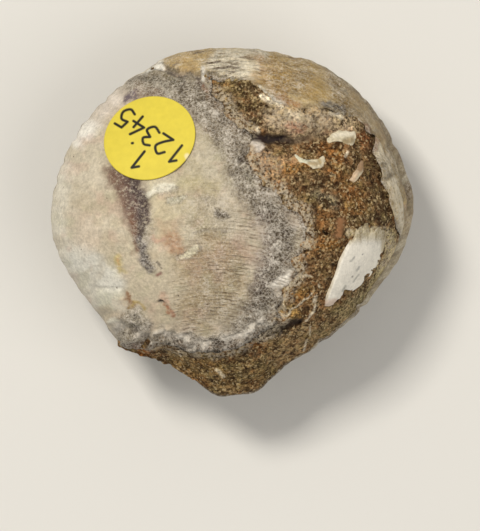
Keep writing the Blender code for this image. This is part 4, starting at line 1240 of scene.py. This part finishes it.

# %% [markdown]
# ## Colours of the sandstone
# Iron stains the stone from olive brown to rust. Crevices are painted near black, which in the middle and at
# the foot of the disc is painted shadow, powdered shell whitens it along the broken edge, and a pebble, a
# chalky bit and the veins keep colours of their own.

# %% Colours of the sandstone
SMOOTH = [  # strength, half width in mm and path
    (0.9, 0.45, PEBBLE),
    (0.8, 0.4, CHALKY_BIT),
    # the painted shadow in this crevice lies even, without grain
    (0.9, 0.55, [(2.1, 8.5), (5.4, 8.15)]),
    (0.6, 0.5, [(5.4, 8.15), (8.4, 8.4)]),
    (0.35, 1.2, [(4.6, 10.2), (7.5, 9.8), (9.6, 10.2)]),
    # the painted shadow in this crevice lies even, without grain
    (0.7, 0.45, [(2.8, -11.6), (5.5, -10.4), (6.7, -10.05)]),
    (0.7, 0.4, [(9.8, 11.4), (10.8, 11.2)]),
]
STONE_STROKES = [
    ("6d5b3e", 0.9, 2.4, [(-1.0, 14.0), (0.5, 12.8), (2.2, 11.5)]),
    ("7b6b45", 0.7, 1.0, [(-0.8, 14.4), (1.2, 13.6)]),
    ("4a3a28", 0.7, 0.5, [(0.4, 14.0), (1.6, 13.6), (2.4, 13.0)]),
    ("7c5a34", 0.7, 0.4, [(-2.3, 14.2), (-1.9, 12.8)]),
    ("4f3e2c", 0.8, 0.6, [(2.0, 10.6), (3.0, 11.0), (3.8, 11.3)]),
    ("b7a07c", 0.8, 0.22, [(2.4, 9.3), (3.2, 9.9), (4.6, 10.8), (5.9, 11.2)]),
    ("75644c", 0.6, 0.7, [(-0.6, 11.4), (1.0, 10.4), (2.0, 9.4)]),
    ("a68e62", 0.85, 0.9, [(5.0, 11.6), (8.0, 11.0), (11.5, 10.8)]),
    ("a8957a", 0.85, 1.5, [(4.6, 10.2), (7.5, 9.8), (11.5, 9.8)]),
    ("6f5f49", 0.7, 1.0, [(7.4, 9.2), (9.4, 9.4)]),
    ("9a6a54", 0.6, 0.5, [(5.8, 9.7), (7.2, 9.4)]),
    ("a5835f", 0.8, 1.3, [(3.0, 6.6), (4.0, 5.2), (6.0, 5.8)]),
    ("96672e", 0.7, 0.7, [(5.4, 5.2), (7.6, 5.4)]),
    ("7c5226", 0.7, 0.9, [(9.6, 7.2), (10.8, 6.6)]),
    ("6f4326", 0.7, 0.7, [(13.4, 8.6), (14.0, 7.2)]),
    ("75502a", 0.7, 1.5, [(10.4, 4.6), (12.4, 2.4), (12.2, 0.6)]),
    ("54432c", 0.8, 0.9, [(14.3, 7.0), (14.2, 4.8), (14.9, 2.2), (15.6, 0.4)]),
    ("6a583e", 0.7, 1.4, [(7.4, 4.2), (9.6, 3.2)]),
    ("625b4a", 0.8, 0.8, [(8.6, 2.6), (10.5, 1.8)]),
    ("74512c", 0.7, 1.3, [(8.8, 0.4), (8.4, -2.4)]),
    ("5e4a30", 0.7, 1.0, [(7.8, 1.6), (7.9, -0.6)]),
    ("8c622f", 0.6, 0.5, [(10.7, -2.2), (9.4, -2.6)]),
    ("8a6030", 0.7, 0.9, [(6.2, -7.2), (7.4, -7.4)]),
    ("a8834a", 0.8, 0.28, [(5.1, -9.6), (6.8, -9.5)]),
    ("8c6034", 0.8, 0.55, [(1.6, -12.3), (2.8, -12.5), (3.6, -12.9)]),
    ("4d3f30", 0.8, 0.5, [(1.3, -13.1), (2.4, -13.5)]),
    ("8a7350", 0.8, 1.5, [(4.4, -13.4), (7.6, -11.4)]),
    ("8b8260", 0.75, 1.0, [(15.2, -5.2), (13.8, -7.4), (11.4, -9.6)]),
    ("4a3d2c", 0.8, 0.6, [(12.0, 0.1), (13.6, 0.3), (15.2, 0.2)]),
    ("b0a37e", 0.9, 0.45, [(12.0, -1.2), (15.8, -1.1)]),
    ("b0a37e", 0.9, 0.75, [(16.1, -1.4), (16.1, -3.0), (15.3, -5.2)]),
    ("80704e", 0.7, 1.2, [(9.4, -11.4), (11.6, -9.4)]),
    ("776541", 0.75, 1.8, [(-5.2, -14.6), (-1.6, -15.6), (2.6, -15.2)]),
    ("8a6a3e", 0.6, 0.8, [(-3.4, -14.4), (-1.4, -15.2)]),
    ("4f4030", 0.6, 0.35, [(-4.4, -13.7), (-2.0, -13.9), (0.4, -13.6)]),
    ("76542e", 0.7, 0.5, [(-6.0, -14.2), (-4.2, -15.4), (-2.8, -16.6)]),
    ("8a5426", 0.8, 0.4, [(-9.6, -13.3), (-8.4, -13.3)]),
    # these two: painted shadow, near black, in the crevices beside the hole in the disc
    ("493b36", 0.85, 0.5, [(0.9, 6.6), (1.6, 7.8)]),
    ("2b2323", 1.0, 0.55, [(2.1, 8.55), (3.6, 8.25), (5.7, 8.15)]),
    ("5c4e40", 0.7, 0.5, [(5.8, 8.4), (7.6, 8.2)]),
    # these two: painted shadow, near black, in the crevice below the disc's foot
    ("2d2420", 0.95, 0.52, [(2.8, -11.6), (4.2, -10.95), (5.5, -10.4), (6.7, -10.05)]),
    ("2d2420", 0.9, 0.5, [(2.8, -12.0), (4.3, -11.4), (5.2, -10.8)]),
    ("3c3733", 0.9, 0.42, [(9.8, 11.5), (11.2, 11.2)]),
    ("1c1410", 0.95, 0.16, [(9.3, -1.1), (9.6, -1.3)]),
]
POWDERED = [  # strength, half width in mm and path
    (0.8, 0.7, [(p[0] + 0.3, p[1]) for p in DISC_EDGE[6:19]]),
    (0.7, 0.5, DISC_EDGE[1:7]),
    (0.9, 0.4, [(4.6, -6.9), (5.6, -6.3), (6.5, -5.8)]),
    (0.75, 0.7, [(p[0] + 0.2, p[1] + 0.2) for p in DISC_EDGE[19:24]]),
    (0.6, 0.5, [(3.0, -11.6), (4.4, -11.0)]),
    (0.5, 0.5, [(5.2, -5.4), (5.9, -6.4)]),
    (0.5, 1.4, [(4.6, 10.8), (8.6, 10.4)]),
    (0.35, 0.9, [(3.0, 6.4), (4.4, 5.4)]),
    (0.7, 0.5, [(12.0, -1.2), (15.8, -1.1), (16.3, -2.6), (15.6, -4.6)]),
]


def stone_colour(plan):
    """The stone's colour, and how strong the veins are."""
    vein = cover(ragged(plan, 0.15), VEINS)
    tint = paint(ragged(plan, 0.3), "6f573a", STONE_STROKES)
    tint = mix_in(tint, "35241a", 0.8 * stroke(plan, PEBBLE, 0.6))
    tint = mix_in(tint, "8a6444", stroke(plan, PEBBLE, 0.46))
    tint = mix_in(tint, "d6ccc0", stroke(ragged(plan, 0.3), CHALKY_BIT, 0.36))
    return mix_in(tint, "ddd2b8", vein), vein


print(len(STONE_STROKES), "strokes on the sandstone")

# %% [markdown]
# ## The sandstone filling
# Rings round one centre are enough here, as no growth lines run over the stone: up the inside of the
# lower bowl, out to the brim where the valves meet, and back over the open ground to the middle.

# %% The sandstone filling
SPOKES = 680
RINGS = 118
CAST_DEPTH = 1.6  # of the filling below the lower valve's outer face

turn, direction = compass(SPOKES)
overhang = 0.45 * np.exp(-(((np.degrees(turn) - 240) / 16) ** 2))  # stone past the lip, left of the beak
brim_reach = reach(turn) - lip_inset(turn) - 0.15 + overhang
share = (1 - (1 - np.linspace(0.01, 1, RINGS)) ** 1.5)[::-1, None]
xy = DOME_CENTRE + (share * brim_reach)[..., None] * direction
top = at_height(xy, np.maximum(stone_face(xy), UPPER_BASE + 0.3 * share))
jagged = 0.12 + 0.12 * ease((-9.5 - top[..., 1]) / 3.0)  # most uneven at the beak, where no shell covers it
outwards = np.concatenate([direction, np.zeros((SPOKES, 1))], axis=1)
top = top + (jagged * rough(top, 0.7, 55))[..., None] * outwards
core = DOME_CENTRE + (reach(turn) - 1.9)[:, None] * direction
brim = DOME_CENTRE + brim_reach[:, None] * direction
below = bowl_rings(core, CAST_DEPTH)
below += [at_height(core, EQUATOR_Z), at_height(core, UPPER_FOOT), at_height(brim, UPPER_FOOT)]
rows = np.concatenate([np.array(below), top])
first = [*DOME_CENTRE, lower_face(DOME_CENTRE[None], CAST_DEPTH)[0]]
last = [*DOME_CENTRE, float(top[-1, :, 2].mean())]
points, faces = wrap(rows, first, last)
plan = points[:, :2]
at = ragged(plan, 0.3)
tint, vein = stone_colour(plan)
values = {"tint": tint, "crumb": np.maximum(cover(at, POWDERED), vein), "smooth": cover(at, SMOOTH)}
filling = piece("sandstone_filling_grains", points, faces, sandstone, values)
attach(filling, "root")
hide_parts("sandstone_filling")

# %% [markdown]
# ## Shell left on the stone
# One chalky flake and three cream chips lie in the sandstone. They are drawn as outlines in plan, each
# with a few stains and hairlines.

# %% Outlines of the flake and the chips
FLAKE_TOP = -2.4  # above this the flake is frayed into fibres
FLAKE_LEFT = [
    (9.3, -8.6), (10.1, -8.7), (11.1, -7.9), (11.45, -7.1), (11.9, -7.6), (12.65, -7.4), (13.8, -6.3),
    (14.8, -5.5), (15.3, -4.2), (15.6, -2.8), (15.8, -1.3), (15.0, -0.6), (13.6, -0.6), (12.2, -0.9),
    (12.0, -1.9), (11.4, -2.8), (10.9, -3.8), (10.45, -5.1), (9.95, -6.4), (9.5, -7.6),
]
CHIPS = {
    "shell_chip_long": [(9.5, 8.4), (10.1, 8.8), (11.0, 9.2), (12.5, 9.2), (12.65, 8.5), (12.2, 7.8),
                        (11.5, 7.75), (10.8, 8.0), (9.9, 8.1)],
    "shell_chip_curved": [(6.4, 6.7), (7.2, 6.25), (7.9, 6.2), (8.7, 6.3), (9.3, 6.75), (9.4, 6.1),
                          (8.9, 5.5), (8.2, 5.4), (7.6, 5.8), (6.9, 6.0)],
    "shell_chip_short": [(13.0, 6.4), (13.5, 6.1), (13.3, 5.2), (12.9, 4.7), (12.4, 4.0), (11.9, 4.2),
                         (12.3, 4.9), (12.7, 5.3)],
}
CHIP_STROKES = [
    ("a08a60", 0.8, 0.35, [(11.4, 8.1), (12.1, 8.3)]), ("96704a", 0.9, 0.5, [(13.2, 6.2), (13.0, 5.4)]),
    ("c8a888", 0.8, 0.4, [(12.5, 4.9), (12.1, 4.2)]), ("d6d8c0", 0.7, 0.4, [(6.6, 6.5), (7.6, 6.1)]),
    ("9c8252", 0.7, 0.25, [(7.8, 5.9), (8.5, 5.8)]), ("a08a5c", 0.8, 0.18, [(8.7, 6.3), (8.9, 5.9)]),
    ("efe6cf", 0.8, 0.3, [(10.4, 8.7), (12.3, 9.0)]),
]
FLAKE_STROKES = [
    ("c9bb92", 0.85, 0.95, [(11.9, -1.4), (13.2, -0.9), (15.2, -1.0)]),
    ("c9bca0", 0.8, 0.3, [(11.2, -2.9), (10.2, -5.4), (9.4, -8.0)]),
    ("bfae86", 0.8, 0.35, [(15.7, -1.4), (15.4, -3.6), (14.6, -5.8), (12.8, -7.4)]),
    ("cdb09c", 0.7, 0.4, [(9.6, -8.4), (10.4, -8.2)]),
    ("9d9c96", 0.7, 0.1, [(12.4, -3.6), (12.0, -4.1)]), ("9d9c96", 0.7, 0.1, [(12.9, -4.6), (12.6, -5.0)]),
    ("a3a197", 0.8, 0.16, [(11.5, -6.6), (11.2, -7.1)]), ("8f8d82", 0.6, 0.1, [(12.8, -5.4), (12.3, -6.2)]),
    ("6f6c66", 0.8, 0.06, [(13.3, -3.3), (13.2, -3.4)]), ("6f6c66", 0.8, 0.06, [(12.2, -5.6), (12.1, -5.7)]),
]
print("the flake has", len(FLAKE_LEFT), "corners, and there are", len(CHIPS), "chips")

# %% [markdown]
# ### Flake and chips
# Each is a small plate cut from a square grid by its outline. The flake keeps the shell's own curve,
# and its upper end is frayed into fibres where sand has worked in between them. The chips lie on the
# stone and follow its lumps.

# %% Flake and chips


def plate(name, outline, cell, face, thickness, finish, wander, strokes, base, fray=BEYOND):
    """A closed plate over a plan outline: a face plus a thickness that thins at the edge.

    The edge wanders by that many mm, and above the line y = fray it runs out in fibres.
    """
    low, high = np.min(outline, axis=0) - 0.4, np.max(outline, axis=0) + 0.4
    xy = np.stack(np.meshgrid(*[np.arange(a, b, cell) for a, b in zip(low, high)], indexing="ij"), axis=-1)

    def fibres(at):
        """Noise drawn out in y, seven times as long as it is wide."""
        return rough(spread(at) * [3.5, 0.5, 1.0], 0.8, 73, octaves=2)

    def edge(at):
        """Distance inside the plate, whose edge wanders and frays."""
        wandering = wander * rough(spread(at), 0.8, 71, octaves=2)
        return signed(outline, at) + wandering + 0.7 * ease((at[..., 1] - fray) / 1.4) * fibres(at)

    keep = tidy(edge((xy[:-1, :-1] + xy[1:, 1:]) / 2) > 0)
    xy = settle(xy, keep, edge)
    bottom = face(xy)
    thick = thickness * (0.5 + 0.5 * ease(edge(xy) / 0.4)) + 0.03 * rough(spread(xy), 0.7, 72)
    points, faces, used = slab(at_height(xy, bottom + thick), at_height(xy, bottom), keep)
    flat = xy.reshape(-1, 2)
    frayed = ease((flat[:, 1] - fray + 0.4) / 1.2)
    tint = paint(ragged(flat, 0.12), base, strokes)
    tint = mix_in(tint, "8a7850", 0.8 * frayed * ease(1.5 * fibres(flat)))
    values = {"ground": tint, "tint": tint, "crumb": 0.12 + 0.3 * frayed,
              "lined": np.full(len(flat), 0.1), "flow": flow(flat, grown_mm(flat))}
    return piece(name, points, faces, finish, both_faces(values, used))


def flake_face(xy):
    """The inner face of the flake, on the curve that the whole shell had."""
    return upper_face(xy, 0.5) - 0.75


flake = plate("shell_flake_chalky", FLAKE_LEFT, 0.08, flake_face, 0.75, chalky_shell, 0.06,
              FLAKE_STROKES, "efeadd", FLAKE_TOP)
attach(flake, "root")
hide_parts("shell_flake")
for node, outline in CHIPS.items():
    chip = plate(node + "_cream", outline, 0.07, lambda xy: stone_face(xy) - 0.15, 0.42, cream_shell, 0.22,
                 CHIP_STROKES, "dbd0b2")
    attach(chip, "root")
    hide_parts(node)

# %% [markdown]
# ## Digits on the dot
# The dot bears plain numbers in handwriting. A text object would look printed, so each digit is a few
# curves through points on a box one unit high, drawn with a pen that has a round tip.

# %% Digits on the dot
PEN = 0.14  # half the width of a line
DIGIT_HEIGHT = 2.1
DIGITS = {
    "1": [[(0.1, 0.75), (0.35, 1.0)], [(0.35, 1.0), (0.3, 0.0)]],
    "2": [[(0.05, 0.75), (0.3, 1.0), (0.58, 0.75), (0.4, 0.4), (0.05, 0.02)], [(0.05, 0.02), (0.62, 0.04)]],
    "3": [[(0.08, 0.9), (0.35, 1.0), (0.55, 0.78), (0.3, 0.55)],
          [(0.3, 0.55), (0.62, 0.35), (0.4, 0.02), (0.05, 0.12)]],
    "4": [[(0.42, 1.0), (0.05, 0.35)], [(0.05, 0.35), (0.66, 0.38)], [(0.48, 0.62), (0.42, -0.05)]],
    "5": [[(0.58, 1.0), (0.2, 0.97)], [(0.2, 0.97), (0.12, 0.58)],
          [(0.12, 0.58), (0.45, 0.62), (0.58, 0.3), (0.35, 0.0), (0.05, 0.08)]],
    ".": [[(0.1, 0.0), (0.12, 0.02)]],
}
READING = math.radians(144.7)  # direction in which the digits are read
ALONG = np.array([math.cos(READING), math.sin(READING)])
UPRIGHT = np.array([-ALONG[1], ALONG[0]])
LINES = [("12345", (-4.6, 7.3), 1.58), ("1.", (-8.4, 6.7), 1.9)]  # digits, foot of the first, spacing


def writing():
    """Every pen stroke of the label as a chain of plan points."""
    strokes = []
    for text, foot, spacing in LINES:
        for k, digit in enumerate(text):
            origin = np.array(foot) + k * spacing * ALONG
            for points in DIGITS[digit]:
                curve = spline(points, 6) * DIGIT_HEIGHT
                strokes.append(origin + curve[:, :1] * ALONG + curve[:, 1:] * UPRIGHT)
    return strokes


print(len(writing()), "pen strokes")

# %% [markdown]
# ## The paper dot
# A dot of paper is stiff, so it bends only part of the way down to the dome it is stuck on, and its
# lower edge casts a thin shadow. It is a closed skin of rings, out along the underside and back over
# the top, and the ink on it comes from the distance to the nearest pen stroke.

# %% The paper dot
LABEL_CENTRE = np.array([-8.4, 8.4])
LABEL_RADIUS = 4.75
LABEL_THICKNESS = 0.14
LABEL_LIFT = 0.1  # above the worn dome, so that the paper rests on its small lumps
LABEL_BEND = 0.8  # how far the paper follows the dome: 0 is flat and 1 is all the way


def label_seat(xy):
    """Height of the paper, between a plane that touches the dome and the dome, and the plane's slope."""
    span = 0.5
    around = LABEL_CENTRE + span * np.array([(0, 0), (1, 0), (-1, 0), (0, 1), (0, -1)])
    centre, east, west, north, south = upper_face(around) - WORN + LABEL_LIFT
    slope = np.array([east - west, north - south]) / (2 * span)
    plane = centre + (xy - LABEL_CENTRE) @ slope
    return plane + LABEL_BEND * (upper_face(xy) - WORN + LABEL_LIFT - plane), slope


direction = compass(420)[1]
slope = label_seat(LABEL_CENTRE[None])[1]
downhill = -slope / np.linalg.norm(slope)
tilt = math.atan(np.linalg.norm(slope))
foreshortened = direction - np.outer(direction @ downhill, downhill) * (1 - math.cos(tilt))
ring = np.linspace(0.01, 1, 58)[:, None, None] * LABEL_RADIUS
xy = LABEL_CENTRE + ring * foreshortened
paper = at_height(xy, label_seat(xy)[0])
raised = np.array([*-slope, 1.0]) / np.linalg.norm([*slope, 1.0]) * LABEL_THICKNESS
rows = np.concatenate([paper, (paper + raised)[::-1]])
seat = np.array([*LABEL_CENTRE, label_seat(LABEL_CENTRE[None])[0][0]])
points, faces = wrap(rows, seat, seat + raised)
plan = points[:, :2]
ink = np.max([ease((PEN - distance_to(s, plan)) / 0.1 + 0.5) for s in writing()], axis=0)
scuffed = stroke(plan, [(-4.6, 6.6), (-4.3, 5.9)], 0.3)
label = piece("label_dot", points, faces, label_paper, {"ink": ink, "crumb": 0.7 * scuffed})
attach(label, "root")
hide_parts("label")

# %% [markdown]
# ## Table, light and camera
# The fossil lies on a plain pale table under a large soft lamp from the upper left, with the room as
# fill, and the camera looks straight down from far off, so that there is little perspective.

# %% Table, light and camera
CAMERA_OVER = (0.77, -4.51)  # plan point under the camera, in mm
FRAME_HEIGHT = 54.38  # what the long side of the image covers, in mm
LENS = 600.0
SENSOR = 36.0

floor_mesh = bpy.data.meshes.new("table_top")
floor_mesh.from_pydata([(-2, -2, 0), (2, -2, 0), (2, 2, 0), (-2, 2, 0)], [], [(0, 1, 2, 3)])
floor = stand("table_top", floor_mesh)
pale, node, shader, place = fresh("pale_matt_board", 0.9, 1.45)
node(shader, {"Base Color": "dbdad6"})
floor_mesh.materials.append(pale)

camera_data = bpy.data.cameras.new("camera")
camera_data.lens = LENS
camera_data.sensor_width = SENSOR
camera_data.clip_start, camera_data.clip_end = 0.05, 20
camera = stand("camera", camera_data)
above = COMMISSURE_Z + FRAME_HEIGHT * LENS / SENSOR
camera.location = (CAMERA_OVER[0] * MM, CAMERA_OVER[1] * MM, above * MM)
bpy.context.scene.camera = camera

for name, where, size, power, colour in (  # where and how wide in metres, and how strong in watts
        ("key_lamp", (-0.24, 0.28, 0.6), 0.16, 3.5, "fff9ef"),
        ("fill_lamp", (0.35, -0.2, 0.5), 0.5, 1.4, "fcf7f0")):
    light = bpy.data.lights.new(name, "AREA")
    light.size, light.energy, light.color = size, power, linear(colour)
    lamp = stand(name, light)
    lamp.location = where
    lamp.rotation_euler = (-lamp.location).to_track_quat("-Z", "Y").to_euler()

world = bpy.data.worlds.new("room")
world.use_nodes = True
add(world.node_tree, world.node_tree.nodes["Background"], {"Color": "f7f5f2", "Strength": 0.36})
bpy.context.scene.world = world
bpy.context.scene.view_settings.view_transform = "Standard"
print("camera height:", round(camera.location.z, 3), "m")
